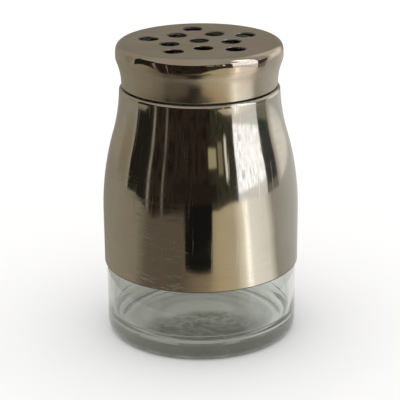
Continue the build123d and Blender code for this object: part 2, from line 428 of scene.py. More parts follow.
@dataclass(frozen=True)
class PolishedSteel:
    """Drawn stainless sheet, polished round its axis, with the marks of handling."""

    name: str
    radius: float                       # of the wall that the scratches are unrolled from
    tint: Colour = (0.66, 0.625, 0.57)
    warm: Colour = (0.66, 0.595, 0.54)  # what handling stains turn the tint towards
    shine: float = 0.065                # roughness of the clean wall
    smear: float = 0.06                 # what finger marks add to it
    streaks: float = 0.14               # what the polishing streaks add to it
    scuff: float = 0.2                  # what a scratch adds to it
    wave: float = 0.000022              # height of the sheet's slow unevenness
    groove: float = 0.0000022           # depth of the polishing lines
    worn: Span = (0.4, 1.6)             # what multiplies it off the worked patches and on them
    scratch: float = 0.000004           # depth of a scratch
    finger_tone: Span = (0.88, 1.09)    # brightness between finger marks and on them
    streak_tone: float = 0.1            # how much the streaks darken
    grain_depth: float = 0.000004       # depth of the satin's grain
    grain_tone: float = 0.05            # how much that grain darkens
    satin: Span = (-0.05, 0.07)         # how far a satin band's roughness varies
    # roughness added along the lines of painted shade
    shade_line_rough: float = 0.4
    inner_face: Span = (-0.0002, -0.004)  # radius times the normal's outward part, from outside to inside
    inner_rough: float = 0.35           # what the inner face adds, which is left as rolled
    # painted shade: how much darker the inner face's colour is made, on top of its rougher rolled finish
    inner_shade: float = 0.6             # how much darker that face is
    brushing: float = 0.35              # anisotropy
    brushing_turn: float = 0.25         # its direction, as a share of a turn
    dent: Dent | None = None
    # lines of painted shade in crevices and along edges
    shade_lines: tuple[PaintedShadeLine, ...] = ()
    bands: tuple[SatinBand, ...] = ()
    lines: Noise = Noise(1.0, 4.0, 0.6, stretch=(60.0, 60.0, 1700.0))
    line_fade: Span = (0.42, 0.72)
    patches: Noise = Noise(34.0, 3.0, fade=(0.45, 0.68))
    fingers: Noise = Noise(75.0, 5.0, 0.62)
    finger_fade: Span = (0.4, 0.75)
    slow: Noise = Noise(75.0, 1.0, stretch=(1.0, 1.0, 0.35))
    grain: Noise = Noise(1500.0, 3.0, 0.65)
    stain: Noise = Noise(58.0, 4.0, 0.6, fade=(0.42, 0.7))
    scratches: tuple[ScratchSet, ...] = (
        ScratchSet(1.53, 2600.0, 45.0, 0.69),
        ScratchSet(0.04, 900.0, 130.0, 0.5, 0.22, -117.0, 0.052),
        ScratchSet(-0.12, 1500.0, 90.0, 0.62, 0.08, -118.0, 0.05),
        ScratchSet(0.5, 2200.0, 80.0, 0.77),
        ScratchSet(-0.85, 2400.0, 70.0, 0.78),
        ScratchSet(2.2, 2800.0, 90.0, 0.78),
    )

    def dress(self) -> bpy.types.Material:
        """Builds the finish.

        Returns:
            The material.
        """
        tree = Surface(self.name)
        place = tree.place()
        x, y, z = tree.parts(place)
        angle = tree.maths("ARCTAN2", y, x)
        first, *others = (s.draw(angle, self.radius, z) for s in self.scratches)
        marks = sum(others, first)
        lines, patches, fingers = (n.over(place) for n in (self.lines, self.patches, self.fingers))
        streaked = lines.fades(*self.line_fade) * patches
        rough = self.shine + fingers.fades(*self.finger_fade) * self.smear
        rough = rough + streaked * self.streaks + marks * self.scuff
        relief = self.slow.over(place) * self.wave + lines * (patches.blend(*self.worn) * self.groove)
        relief = relief - marks * self.scratch
        if self.dent:
            relief = relief - self.dent.draw(place, z)
        tone = fingers.blend(*self.finger_tone) - streaked * self.streak_tone
        for band in self.bands:
            share = band.share(z)
            grain = share * self.grain.over(place)
            smooth, coarse = (band.rough + change for change in self.satin)
            rough = rough * (1 - share) + share * fingers.blend(smooth, coarse)
            relief = relief + grain * self.grain_depth
            tone = tone - grain * self.grain_tone
        # painted shade: each line darkens the tone and roughens the surface
        for line in self.shade_lines:
            dark = line.share(z)
            rough = rough + dark * self.shade_line_rough
            tone = tone * (1 - dark)
        # the inner face: rougher as left rolled, and darker as painted shade inside the pieces
        nx, ny, _ = tree.parts(tree.node("ShaderNodeNewGeometry", output="True Normal"))
        inner = (x * nx + y * ny).fades(*self.inner_face)
        rough = rough + inner * self.inner_rough
        tone = tone * (1 - inner * self.inner_shade)
        tint = tree.mixed(self.stain.over(place), solid(self.tint), solid(self.warm))
        return tree.close(
            {
                "Base Color": tree.mixed(tone, solid(BLACK), tint),
                "Metallic": 1.0,
                "Roughness": rough,
                "Anisotropic": self.brushing,
                "Anisotropic Rotation": self.brushing_turn,
                "Normal": tree.bump(relief),
            }
        )


@dataclass(frozen=True)
class ClearGlass:
    """Pressed soda-lime glass, fire-polished, faintly green where it is thick."""

    name: str = "clear_glass_finish"
    tint: Colour = (0.96, 0.98, 0.96)
    deep_tint: Colour = (0.68, 0.72, 0.62)
    density: float = 18.0
    ior: float = 1.52
    # lines of painted shade, with the dark tint, cover and roughness that they give the glass
    shade_lines: tuple[PaintedShadeLine, ...] = ()
    shade_line_tint: Colour = (0.02, 0.016, 0.01)
    shade_line_cover: float = 0.5            # how far it hides the tint
    shade_line_rough: float = 0.5
    dust_rough: float = 0.1
    film_rough: float = 0.02
    ripple_height: float = 0.00008
    peel_height: float = 0.000003
    ripple: Noise = Noise(85.0, stretch=(1.0, 1.0, 0.6))
    peel: Noise = Noise(420.0)
    dust: Noise = Noise(900.0, 4.0, 0.7, fade=(0.62, 0.8))
    film: Noise = Noise(45.0, 4.0, fade=(0.45, 0.7))

    def dress(self) -> bpy.types.Material:
        """Builds the finish.

        Returns:
            The material.
        """
        tree = Surface(self.name)
        place = tree.place()
        height = tree.parts(place)[2]
        depth = {"Color": solid(self.deep_tint), "Density": self.density}
        rough = self.dust.over(place) * self.dust_rough + self.film.over(place) * self.film_rough
        colour = solid(self.tint)
        # painted shade: each line turns the tint dark and roughens the surface
        for line in self.shade_lines:
            dark = line.share(height)
            rough = rough + dark * self.shade_line_rough
            colour = tree.mixed(dark * self.shade_line_cover, colour, solid(self.shade_line_tint))
        relief = self.ripple.over(place) * self.ripple_height + self.peel.over(place) * self.peel_height
        return tree.close(
            {
                "Base Color": colour,
                "Roughness": rough,
                "IOR": self.ior,
                "Transmission Weight": 1.0,
                "Normal": tree.bump(relief),
            },
            tree.node("ShaderNodeVolumeAbsorption", {}, depth),
        )


@dataclass(frozen=True)
class MouldedPlastic:
    """Black moulded plastic with a fine spark-eroded grain and flow marks."""

    name: str = "moulded_plastic_finish"
    tint: Colour = (0.022, 0.022, 0.024)
    flow_tone: float = 1.6              # brightness of the flow marks
    shine: Span = (0.38, 0.55)
    grain_height: float = 0.000012
    grain: Noise = Noise(2600.0, 3.0, 0.6)
    flow: Noise = Noise(160.0, 3.0, stretch=(1.0, 1.0, 0.3))

    def dress(self) -> bpy.types.Material:
        """Builds the finish.

        Returns:
            The material.
        """
        tree = Surface(self.name)
        place = tree.place()
        flow = self.flow.over(place)
        return tree.close(
            {
                "Base Color": tree.mixed(flow, solid(self.tint), solid(self.tint, self.flow_tone)),
                "Roughness": flow.blend(*self.shine),
                "Normal": tree.bump(self.grain.over(place) * self.grain_height),
            }
        )


@dataclass(frozen=True)
class Silicone:
    """Cured silicone rubber, matt, slightly cloudy."""

    name: str
    tint: Colour
    cloud_tone: float = 0.88            # brightness between the clouds
    shine: Span = (0.5, 0.7)
    scatter: float = 0.15               # how much of the light spreads inside
    scatter_depth: float = 0.001
    skin_height: float = 0.000006
    cloud: Noise = Noise(220.0, 4.0)
    skin: Noise = Noise(1800.0)

    def dress(self) -> bpy.types.Material:
        """Builds the finish.

        Returns:
            The material.
        """
        tree = Surface(self.name)
        place = tree.place()
        cloud = self.cloud.over(place)
        return tree.close(
            {
                "Base Color": tree.mixed(cloud, solid(self.tint, self.cloud_tone), solid(self.tint)),
                "Roughness": cloud.blend(*self.shine),
                "Subsurface Weight": self.scatter,
                "Subsurface Scale": self.scatter_depth,
                "Normal": tree.bump(self.skin.over(place) * self.skin_height),
            }
        )


Finish = PolishedSteel | ClearGlass | MouldedPlastic | Silicone


# ---------------------------------------------------------------- section drawing


@dataclass(frozen=True)
class DoubleCurve:
    """Two tangent arcs that join a wide upright wall to a narrow one, seen in section.

    The outward arc leaves the wide wall and the inward arc meets the narrow wall. An inset moves
    the line towards the axis.
    """

    wide: Point
    narrow: Point
    share: float           # of the fall that lies on the outward arc

    @property
    def rise(self) -> float:
        """Height from the wide wall to the narrow one."""
        return self.narrow[1] - self.wide[1]

    @property
    def total(self) -> float:
        """Sum of the two arcs' radii."""
        fall = self.wide[0] - self.narrow[0]
        return (self.rise**2 + fall**2) / (2 * fall)

    @property
    def turn(self) -> float:
        """The angle that each arc covers."""
        return math.asin(abs(self.rise) / self.total)

    def on_out(self, angle: float, inset: float) -> Point:
        """Finds a point of the outward arc.

        Args:
            angle: radians past the wide wall.
            inset: how far the line is moved towards the axis.

        Returns:
            The point.
        """
        radius = self.share * self.total
        reach = radius - inset
        height = self.wide[1] + math.copysign(reach * math.sin(angle), self.rise)
        return self.wide[0] - radius + reach * math.cos(angle), height

    def on_in(self, angle: float, inset: float) -> Point:
        """Finds a point of the inward arc.

        Args:
            angle: radians before the narrow wall.
            inset: how far the line is moved towards the axis.

        Returns:
            The point.
        """
        radius = (1 - self.share) * self.total
        reach = radius + inset
        height = self.narrow[1] - math.copysign(reach * math.sin(angle), self.rise)
        return self.narrow[0] + radius - reach * math.cos(angle), height

    def in_angle(self, height: float, inset: float) -> float:
        """Where the inward arc crosses a height."""
        reach = (1 - self.share) * self.total + inset
        return math.asin(math.copysign(1, self.rise) * (self.narrow[1] - height) / reach)

    def out_angle(self, height: float, inset: float) -> float:
        """Where the outward arc crosses a height."""
        reach = self.share * self.total - inset
        return math.asin(math.copysign(1, self.rise) * (height - self.wide[1]) / reach)

    def line(self, inset: float, steps: int, last: float = 0.0) -> list[Point]:
        """Both arcs from the wide wall, with steps points on each, up to the inward arc's last angle."""
        out = [self.on_out(a, inset) for a in np.linspace(0, self.turn, steps)]
        return out + [self.on_in(a, inset) for a in np.linspace(self.turn, last, steps)[1:]]


class Outline:
    """A section on the half plane of radius and height, drawn point by point."""

    def __init__(self) -> None:
        """Starts with no point."""
        self.points: list[Point] = []

    def add(self, points: Iterable[Point]) -> "Outline":
        """Adds points, leaving out any that repeats the last one.

        Args:
            points: the points.

        Returns:
            The outline.
        """
        for radius, height in points:
            if not self.points or math.dist(self.points[-1], (radius, height)) > SAME_POINT:
                self.points.append((float(radius), float(height)))
        return self

    def run(self, start: Point, end: Point, rows: int) -> "Outline":
        """A straight run cut into rows."""
        rise = (end[0] - start[0], end[1] - start[1])
        return self.add((start[0] + rise[0] * s, start[1] + rise[1] * s) for s in np.linspace(0, 1, rows + 1))

    def arc(self, centre: Point, radius: float, start: float, end: float, steps: int) -> "Outline":
        """An arc between two angles in degrees."""
        angles = np.radians(np.linspace(start, end, steps + 1))
        return self.add((centre[0] + radius * math.cos(a), centre[1] + radius * math.sin(a)) for a in angles)

    def round(self, before: Point, corner: Point, after: Point, radius: float, steps: int = 6) -> "Outline":
        """Adds the arc that rounds a corner between two straight lines.

        Args:
            before: a point on the line that comes in.
            corner: the corner itself.
            after: a point on the line that goes out.
            radius: the arc's radius.
            steps: edges on the arc.

        Returns:
            The outline.
        """
        at = np.array(corner)
        inward = np.array(before) - at
        outward = np.array(after) - at
        inward /= np.linalg.norm(inward)
        outward /= np.linalg.norm(outward)
        half = math.acos(float(np.clip(inward @ outward, -1, 1))) / 2
        centre = at + (inward + outward) / np.linalg.norm(inward + outward) * radius / math.sin(half)
        start = at + inward * radius / math.tan(half) - centre
        end = at + outward * radius / math.tan(half) - centre
        sweep = math.acos(float(np.clip(start @ end / radius**2, -1, 1)))
        for share in np.linspace(0, 1, steps + 1):
            spoke = (start * math.sin((1 - share) * sweep) + end * math.sin(share * sweep)) / math.sin(sweep)
            self.add([tuple(centre + spoke)])
        return self

    def lengths(self) -> np.ndarray:
        """Measures how far along the outline each point lies.

        Returns:
            Shares of its length, closing edge included, with 1 after the last point's.
        """
        at = np.array(self.points + self.points[:1])
        steps = np.linalg.norm(np.diff(at, axis=0), axis=1)
        return np.concatenate([[0], np.cumsum(steps)]) / steps.sum()


def dome(rise: float, edge: Point, steps: int) -> list[Point]:
    """Draws a shallow arc from the axis, where it is level, to its edge.

    Args:
        rise: how much higher it is on the axis.
        edge: its last point.
        steps: its points.

    Returns:
        The points.
    """
    radius = (edge[0] ** 2 + rise**2) / (2 * rise)
    angles = np.linspace(0, math.asin(edge[0] / radius), steps)
    return [(radius * math.sin(a), edge[1] + rise - radius * (1 - math.cos(a))) for a in angles]


def eased(start: Point, end: Point, start_way: Point, end_way: Point, steps: int) -> list[Point]:
    """Draws a smooth line between two points.

    Args:
        start: the first point.
        end: the last point.
        start_way: the direction in which it leaves, of length 1.
        end_way: the direction in which it arrives.
        steps: its points.

    Returns:
        The points.
    """
    reach = math.dist(start, end)
    s = np.linspace(0, 1, steps)[:, None]
    line = (
        (2 * s**3 - 3 * s**2 + 1) * np.array(start)
        + (s**3 - 2 * s**2 + s) * np.array(start_way) * reach
        + (3 * s**2 - 2 * s**3) * np.array(end)
        + (s**3 - s**2) * np.array(end_way) * reach
    )
    return [tuple(p) for p in line]


# ---------------------------------------------------------------- mesh building


class MeshDraft:
    """Vertices, faces and one UV map of a mesh, while it is put together."""

    def __init__(self) -> None:
        """Starts empty."""
        self.vertices: list[Place] = []
        self.faces: list[tuple[int, ...]] = []
        self.corners: list[Point] = []

    def ring(self, places: Iterable[Place]) -> list[int]:
        """Adds vertices.

        Args:
            places: where they are.

        Returns:
            Their numbers.
        """
        first = len(self.vertices)
        self.vertices.extend(tuple(map(float, p)) for p in places)
        return list(range(first, len(self.vertices)))

    def face(self, vertices: Sequence[int], corners: Sequence[Point]) -> None:
        """Adds a face with the map places of its corners."""
        self.faces.append(tuple(vertices))
        self.corners.extend(corners)

    def strip(self, low: list[int], high: list[int], low_map: list[Point], high_map: list[Point]) -> None:
        """Joins two closed rings with quads, or a ring and a single point with triangles.

        Args:
            low: the first ring's vertices.
            high: the second ring's vertices.
            low_map: the first ring's map places, with one more than the ring to close it.
            high_map: the same for the second ring.
        """
        count = max(len(low), len(high))
        for i in range(count):
            j = (i + 1) % count
            if len(low) == 1:
                self.face((low[0], high[j], high[i]), (low_map[i], high_map[i + 1], high_map[i]))
            elif len(high) == 1:
                self.face((low[i], low[j], high[0]), (low_map[i], low_map[i + 1], high_map[i]))
            else:
                corners = (low_map[i], low_map[i + 1], high_map[i + 1], high_map[i])
                self.face((low[i], low[j], high[j], high[i]), corners)

    def make(self, name: str, material: bpy.types.Material, map_name: str) -> bpy.types.Object:
        """Makes the object and puts it in the scene.

        Args:
            name: its name.
            material: what it is dressed in.
            map_name: its UV map's name.

        Returns:
            The object.
        """
        mesh = bpy.data.meshes.new(name)
        mesh.from_pydata(self.vertices, [], self.faces)
        layer = mesh.uv_layers.new(name=map_name)
        layer.uv.foreach_set("vector", np.array(self.corners, np.float32).ravel())
        mesh.materials.append(material)
        made = bpy.data.objects.new(name, mesh)
        bpy.context.scene.collection.objects.link(made)
        return made

    def finish(self, name: str, material: bpy.types.Material) -> bpy.types.Object:
        """Makes a piece of the shaker, smooth where its faces meet gently.

        Args:
            name: its name.
            material: what it is dressed in.

        Returns:
            The piece.
        """
        made = self.make(name, material, "OFBake")
        mesh = made.data
        mesh.polygons.foreach_set("use_smooth", [True] * len(mesh.polygons))
        mesh.validate()
        mesh.update()
        made.modifiers.new("weighted_normals", "WEIGHTED_NORMAL").keep_sharp = True
        return made


Relief = Callable[[np.ndarray, np.ndarray, np.ndarray], np.ndarray]


def only_at(radius: float, radii: np.ndarray, values: np.ndarray) -> np.ndarray:
    """The values of the points that lie at one radius, and 0 for the rest."""
    return np.where(np.abs(radii - radius) < SAME_RADIUS, values, 0.0)


@dataclass
class Lathe:
    """Turns outlines about the Z axis."""

    angles: np.ndarray
    relief: Relief | None = None        # what is added to the radius, by angle, radius and height

    @classmethod
    def even(cls, columns: int, relief: Relief | None = None) -> "Lathe":
        """A lathe with evenly spaced columns."""
        return cls(np.arange(columns) * FULL_TURN / columns, relief)

    def rings(self, draft: MeshDraft, outline: Outline) -> list[list[int]]:
        """Adds a ring of vertices for each point of the outline, or one vertex on the axis.

        Args:
            draft: the mesh to add to.
            outline: the section.

        Returns:
            The rings' vertex numbers.
        """
        made = []
        for radius, height in outline.points:
            if radius < SAME_RADIUS:
                made.append(draft.ring([(0.0, 0.0, height)]))
                continue
            radii = np.full(len(self.angles), radius)
            heights = np.full(len(self.angles), height)
            if self.relief:
                radii = radii + self.relief(self.angles, radii, heights)
            made.append(draft.ring(zip(radii * np.cos(self.angles), radii * np.sin(self.angles), heights)))
        return made

    def turn(self, draft: MeshDraft, outline: Outline, closed: bool, window: Span) -> list[list[int]]:
        """Adds the turned surface.

        Args:
            draft: the mesh to add to.
            outline: the section, with the solid on the left of its direction.
            closed: whether its last point joins its first.
            window: the lowest and highest v of the UV map that it fills.

        Returns:
            The rings' vertex numbers.
        """
        rings = self.rings(draft, outline)
        shares = outline.lengths()
        across = np.append(self.angles, FULL_TURN) / FULL_TURN
        low, high = window
        levels = low + (high - low) * shares / (1.0 if closed else shares[len(rings) - 1])
        rows = [[(u, v) for u in across] for v in levels]
        count = len(rings) if closed else len(rings) - 1
        for i in range(count):
            draft.strip(rings[i], rings[(i + 1) % len(rings)], rows[i], rows[i + 1])
        return rings

    def skin(self, outline: Outline, closed: bool = True) -> MeshDraft:
        """Turns one outline by itself.

        Args:
            outline: the section, with the solid on the left of its direction.
            closed: whether its last point joins its first.

        Returns:
            Its mesh, which fills the UV map.
        """
        draft = MeshDraft()
        self.turn(draft, outline, closed, (0.0, 1.0))
        return draft


@dataclass(frozen=True)
class Thread:
    """One right-handed helical ridge."""

    pitch: float
    turns: float
    start_height: float     # of its middle line, at its lower end
    start_angle: float
    half_width: float
    depth: float
    flank: float = 0.62     # share of the half width that is sloped
    fade: float = 0.45      # radians over which each end runs out

    def ridge(self, angles: np.ndarray, heights: np.ndarray) -> np.ndarray:
        """Measures how far the ridge stands out.

        Args:
            angles: where, round the axis.
            heights: where, along the axis.

        Returns:
            Its height there, in metres.
        """
        best = np.zeros_like(heights)
        reach = self.turns * FULL_TURN
        for lap in range(math.ceil(self.turns) + 1):
            along = (angles - self.start_angle) % FULL_TURN + lap * FULL_TURN
            middle = self.start_height + self.pitch * along / FULL_TURN
            off = np.abs(heights - middle) / self.half_width
            flank = np.clip((1 - off) / self.flank, 0, 1)
            ends = np.clip(np.minimum(along, reach - along) / self.fade, 0, 1)
            shape = flank * flank * (3 - 2 * flank) * ends * ends * (3 - 2 * ends)
            best = np.maximum(best, shape * self.depth)
        return best


# ---------------------------------------------------------------- the shaker's pieces


@dataclass(frozen=True)
class ShakerSizes:
    """Sizes that more than one piece shares, in metres. The frame gives what it can."""

    height: float = CAD_BOX[1].z
    sleeve_radius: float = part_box("steel_sleeve")[1].x
    sleeve_from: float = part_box("steel_sleeve")[0].z
    sleeve_top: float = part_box("steel_sleeve")[1].z
    cap_edge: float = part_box("cap_shell")[0].z
    rim_radius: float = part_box("cap_shell")[1].x
    rim_top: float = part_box("glass_jar")[1].z
    straight_to: float = 0.0419     # height where the sleeve's plain wall ends
    belly_share: float = 0.61
    collar_radius: float = 0.0262
    collar_run_out: float = 0.0009
    sleeve_wall: float = 0.0004
    glass_inset: float = 0.0006     # of the glass from the sleeve's outside
    glass_wall: float = 0.0024
    neck_radius: float = 0.0226
    bore_radius: float = 0.0197
    finish_height: float = 0.0133
    cap_wall: float = 0.00045
    skirt_radius: float = 0.02545
    skirt_straight: float = 0.0009
    rim_corner: float = 0.0025
    rim_side: float = 0.012         # radius of the slow curve above the rim's widest line
    rim_side_turn: float = 10.0     # degrees that it covers before the tighter corner
    rim_side_steps: int = 5         # edges on that slow curve
    bulge_share: float = 0.22
    insert_bore: float = 0.024
    thread_pitch: float = 0.004233
    thread_angle: float = 0.6       # where the jar's thread starts, in radians from +X
    thread_half_width: float = 0.00082
    thread_depth: float = 0.001

    @property
    def shoulder(self) -> DoubleCurve:
        """The sleeve's outside, from its plain wall to its collar."""
        collar = (self.collar_radius, self.cap_edge + self.collar_run_out)
        return DoubleCurve((self.sleeve_radius, self.straight_to), collar, self.belly_share)

    @property
    def flare(self) -> DoubleCurve:
        """The cap's outside, from its rim down to its skirt."""
        skirt = (self.skirt_radius, self.cap_edge + self.skirt_straight)
        return DoubleCurve((self.rim_radius, self.rim_widest), skirt, self.bulge_share)

    @property
    def rim_widest(self) -> float:
        """Height of the rim's widest line."""
        rise = math.sin(math.radians(self.rim_side_turn))
        return self.height - self.rim_corner * (1 - rise) - self.rim_side * rise

    @property
    def flat_radius(self) -> float:
        """Where the cap's flat top ends."""
        reach = math.cos(math.radians(self.rim_side_turn))
        return self.rim_radius - self.rim_side * (1 - reach) - self.rim_corner * reach

    @property
    def neck_foot(self) -> float:
        """Height of the jar's shoulder at the neck."""
        return self.rim_top - self.finish_height

    def rim_line(self, inset: float, steps: int) -> list[Point]:
        """Draws the cap's rim in section.

        Args:
            inset: how far the line is moved towards the axis.
            steps: edges on the tighter corner.

        Returns:
            Points from the rim's widest line to the edge of the flat top.
        """
        side = (self.rim_radius - self.rim_side, self.rim_widest)
        corner = (self.flat_radius, self.height - self.rim_corner)
        made = Outline().arc(side, self.rim_side - inset, 0, self.rim_side_turn, self.rim_side_steps)
        return made.arc(corner, self.rim_corner - inset, self.rim_side_turn, 90, steps).points

    def thread(self, foot: float, turns: float, back: float = 0.0) -> Thread:
        """A thread up from a height, which starts a share of a turn before the jar's own."""
        start = self.thread_angle - back * FULL_TURN
        return Thread(self.thread_pitch, turns, foot, start, self.thread_half_width, self.thread_depth)


def mount(draft: MeshDraft, name: str, finish: Finish, body: Body, slot: Slot, *nodes: str) -> None:
    """Makes a piece and puts it on its body in place of its CAD nodes.

    Args:
        draft: its mesh.
        name: its name.
        finish: what it is dressed in.
        body: what it moves with.
        slot: the record's material slot for the piece; not used.
        nodes: the CAD nodes it stands for.
    """
    piece = draft.finish(name, finish.dress())
    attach(piece, body.value)
    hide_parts(*nodes)
    LOG.info("%s rides on %s: %d faces", piece.name, body.value, len(piece.data.polygons))


@dataclass
class GlassJar:
    """The jar: a thick pushed-up base, a wall under the sleeve, a shoulder and a threaded neck."""

    sizes: ShakerSizes
    foot_taper: float = 0.0001
    foot_corner: float = 0.003
    foot_flat: float = 0.0005           # where the bearing ring's flat ends, before that corner
    foot_top: float = 0.0035            # height where the plain wall starts
    bearing_width: float = 0.0042
    bearing_edge: Point = (0.0003, 0.0001)  # how far its inner edge is eased, inwards and up
    push_up: float = 0.0012
    base_thickness: float = 0.0028
    floor_crown: float = 0.0008
    floor_corner: float = 0.005
    floor_ease: float = 0.0003          # how far the lines on its two sides keep off that corner
    floor_rise: float = 0.0004          # the slope that the corner meets, as its rise to the axis
    shoulder_corner: float = 0.0018
    throat_below: float = 0.0075
    throat_above: float = 0.0015
    thread_turns: float = 1.25
    thread_foot: float = 0.088009
    rim_round: float = 0.0009
    neck_foot_round: float = 0.0007
    dome_steps: tuple[int, int] = (14, 16)  # points on the underside and on the floor
    corner_steps: int = 14              # edges on the foot's corner and on the floor's
    round_steps: int = 8                # edges on each smaller round
    curve_steps: int = 26               # points on each arc of the shoulder
    throat_steps: int = 22
    bare_rows: int = 6                  # rows of the wall below the sleeve
    wall_rows: int = 4                  # rows of each other length of plain wall
    neck_rows: int = 84
    bore_rows: int = 8
    columns: int = 192

    def outside(self, section: Outline) -> None:
        """Draws from the underside's middle up to the rim.

        Args:
            section: what it is added to.
        """
        s = self.sizes
        curve, inset = s.shoulder, s.glass_inset
        wall = s.sleeve_radius - inset
        foot = wall - self.foot_taper
        inner = (foot - self.foot_corner - self.bearing_width, 0.0)
        ease, lift = self.bearing_edge
        section.add(dome(self.push_up, (inner[0] - ease, lift), self.dome_steps[0])).add([inner])
        section.add([(foot - self.foot_corner - self.foot_flat, 0.0)])
        section.round(inner, (foot, 0.0), (wall, s.sleeve_from), self.foot_corner, self.corner_steps)
        section.run((wall, self.foot_top), (wall, s.sleeve_from), self.bare_rows)
        section.run((wall, s.sleeve_from), curve.on_out(0, inset), self.wall_rows)
        corner_height = s.neck_foot - self.shoulder_corner
        last = curve.in_angle(corner_height, inset)
        section.add(curve.line(inset, self.curve_steps, last))
        centre = (curve.on_in(last, inset)[0] - self.shoulder_corner, corner_height)
        section.arc(centre, self.shoulder_corner, 0, 90, self.round_steps)
        neck_foot, neck_top = (s.neck_radius, s.neck_foot), (s.neck_radius, s.rim_top)
        section.round((centre[0], s.neck_foot), neck_foot, neck_top, self.neck_foot_round)
        low, high = s.neck_foot + self.neck_foot_round, s.rim_top - self.rim_round
        section.run((s.neck_radius, low), (s.neck_radius, high), self.neck_rows)
        inner_top = (s.bore_radius, s.rim_top)
        section.round(neck_foot, neck_top, inner_top, self.rim_round, self.round_steps)

    def inside(self, section: Outline) -> None:
        """Draws from the rim down to the floor's middle.

        Args:
            section: what it is added to.
        """
        s = self.sizes
        curve, inset = s.shoulder, s.glass_inset + s.glass_wall
        outer_top, inner_top = (s.neck_radius, s.rim_top), (s.bore_radius, s.rim_top)
        throat_top = (s.bore_radius, s.neck_foot + self.throat_above)
        section.round(outer_top, inner_top, throat_top, self.rim_round, self.round_steps)
        section.run((s.bore_radius, s.rim_top - self.rim_round), throat_top, self.bore_rows)
        angle = curve.in_angle(s.neck_foot - self.throat_below, inset)
        down = (math.sin(angle), -math.cos(angle))
        throat_foot = curve.on_in(angle, inset)
        section.add(eased(throat_top, throat_foot, (0.0, -1.0), down, self.throat_steps))
        section.add(reversed(curve.line(inset, self.curve_steps, angle)))
        wall = (s.sleeve_radius - inset, s.sleeve_from)
        floor = (wall[0] - self.foot_taper, self.push_up + self.base_thickness - self.floor_crown)
        section.run(curve.on_out(0, inset), wall, self.wall_rows)
        section.run(wall, (floor[0] + self.floor_ease, floor[1] + self.floor_corner), self.wall_rows)
        middle = (0.0, floor[1] + self.floor_rise)
        section.round(wall, floor, middle, self.floor_corner, self.corner_steps)
        flat = floor[0] - self.floor_corner - self.floor_ease
        crown = dome(self.floor_crown, floor, self.dome_steps[1])
        section.add(reversed([p for p in crown if p[0] < flat]))

    def build(self) -> None:
        """Makes the jar in one closed skin, so that light bends through it as through real glass."""
        section = Outline()
        self.outside(section)
        self.inside(section)
        s = self.sizes
        thread = s.thread(self.thread_foot, self.thread_turns)

        def relief(angles: np.ndarray, radii: np.ndarray, heights: np.ndarray) -> np.ndarray:
            """The thread, on the neck's outside only."""
            return only_at(s.neck_radius, radii, thread.ridge(angles, heights))

        # painted shade: a dark line where the glass shows in the gap between the cap's edge and the sleeve's
        # lip, and a darker, rougher band low on the foot where it stands on the floor
        shade_lines = (
            PaintedShadeLine(s.neck_foot, below=0.0016, above=0.0016, depth=1.0, edge=0.0003),
            PaintedShadeLine(level=0.0003, below=0.0, above=0.0005, depth=0.5, edge=0.0004),
        )
        draft = Lathe.even(self.columns, relief).skin(section, False)
        mount(draft, "jar_glass", ClearGlass(shade_lines=shade_lines), Body.JAR, Slot.GLASS, "glass_jar")


@dataclass
class SteelSleeve:
    """The drawn jacket: plain wall, curved shoulder, and a lip turned in round the neck."""

    sizes: ShakerSizes
    lip_radius: float = 0.0011
    lip_opening: float = 0.0246
    edge_round: float = 0.00012
    edge_run: float = 0.0003        # the wall's rows start this far above its edge
    edge_steps: int = 4             # edges on each of the sheet's rounded edges
    wall_rows: int = 6
    curve_steps: int = 34           # points on each arc of the shoulder
    lip_steps: tuple[int, int] = (10, 8)    # edges on the lip's bend, outside and inside
    columns: int = 192

    def section(self) -> Outline:
        """Draws the sheet's section.

        Returns:
            The section, closed.
        """
        s = self.sizes
        curve, wall = s.shoulder, s.sleeve_wall
        bend = s.sleeve_top - self.lip_radius
        outer_end, inner_end = curve.in_angle(bend, 0), curve.in_angle(bend, wall)
        outer_centre = (curve.on_in(outer_end, 0)[0] - self.lip_radius, bend)
        inner_centre = (curve.on_in(inner_end, wall)[0] - self.lip_radius + wall, bend)
        out, into = s.sleeve_radius, s.sleeve_radius - wall
        low_out, low_in, start = (out, s.sleeve_from), (into, s.sleeve_from), s.sleeve_from + self.edge_run
        tip_top, tip_low = (self.lip_opening, s.sleeve_top), (self.lip_opening, s.sleeve_top - wall)
        made = Outline()
        made.round(low_in, low_out, curve.on_out(0, 0), self.edge_round, self.edge_steps)
        made.run((out, start), curve.on_out(0, 0), self.wall_rows)
        made.add(curve.line(0, self.curve_steps, outer_end))
        made.arc(outer_centre, self.lip_radius, 0, 90, self.lip_steps[0])
        made.round(outer_centre, tip_top, tip_low, self.edge_round, self.edge_steps)
        made.round(tip_top, tip_low, inner_centre, self.edge_round, self.edge_steps)
        made.arc(inner_centre, self.lip_radius - wall, 90, 0, self.lip_steps[1])
        made.add(reversed(curve.line(wall, self.curve_steps, inner_end)))
        made.run(curve.on_out(0, wall), (into, start), self.wall_rows)
        return made.round(curve.on_out(0, wall), low_in, low_out, self.edge_round, self.edge_steps)

    def build(self) -> None:
        """Makes the sleeve."""
        s = self.sizes
        # painted shade: on the lip, in the gap under the cap's edge, and a dark line along the lower edge
        # where it meets the glass
        shade_lines = (
            PaintedShadeLine(s.sleeve_top, below=0.0001, above=0.001, depth=0.35),
            PaintedShadeLine(s.sleeve_from, below=0.001, above=0.00025, depth=0.75, edge=0.0002),
        )
        finish = PolishedSteel("sleeve_steel_finish", s.sleeve_radius, shade_lines=shade_lines)
        draft = Lathe.even(self.columns).skin(self.section())
        mount(draft, "sleeve_drawn", finish, Body.JAR, Slot.SLEEVE, "steel_sleeve")


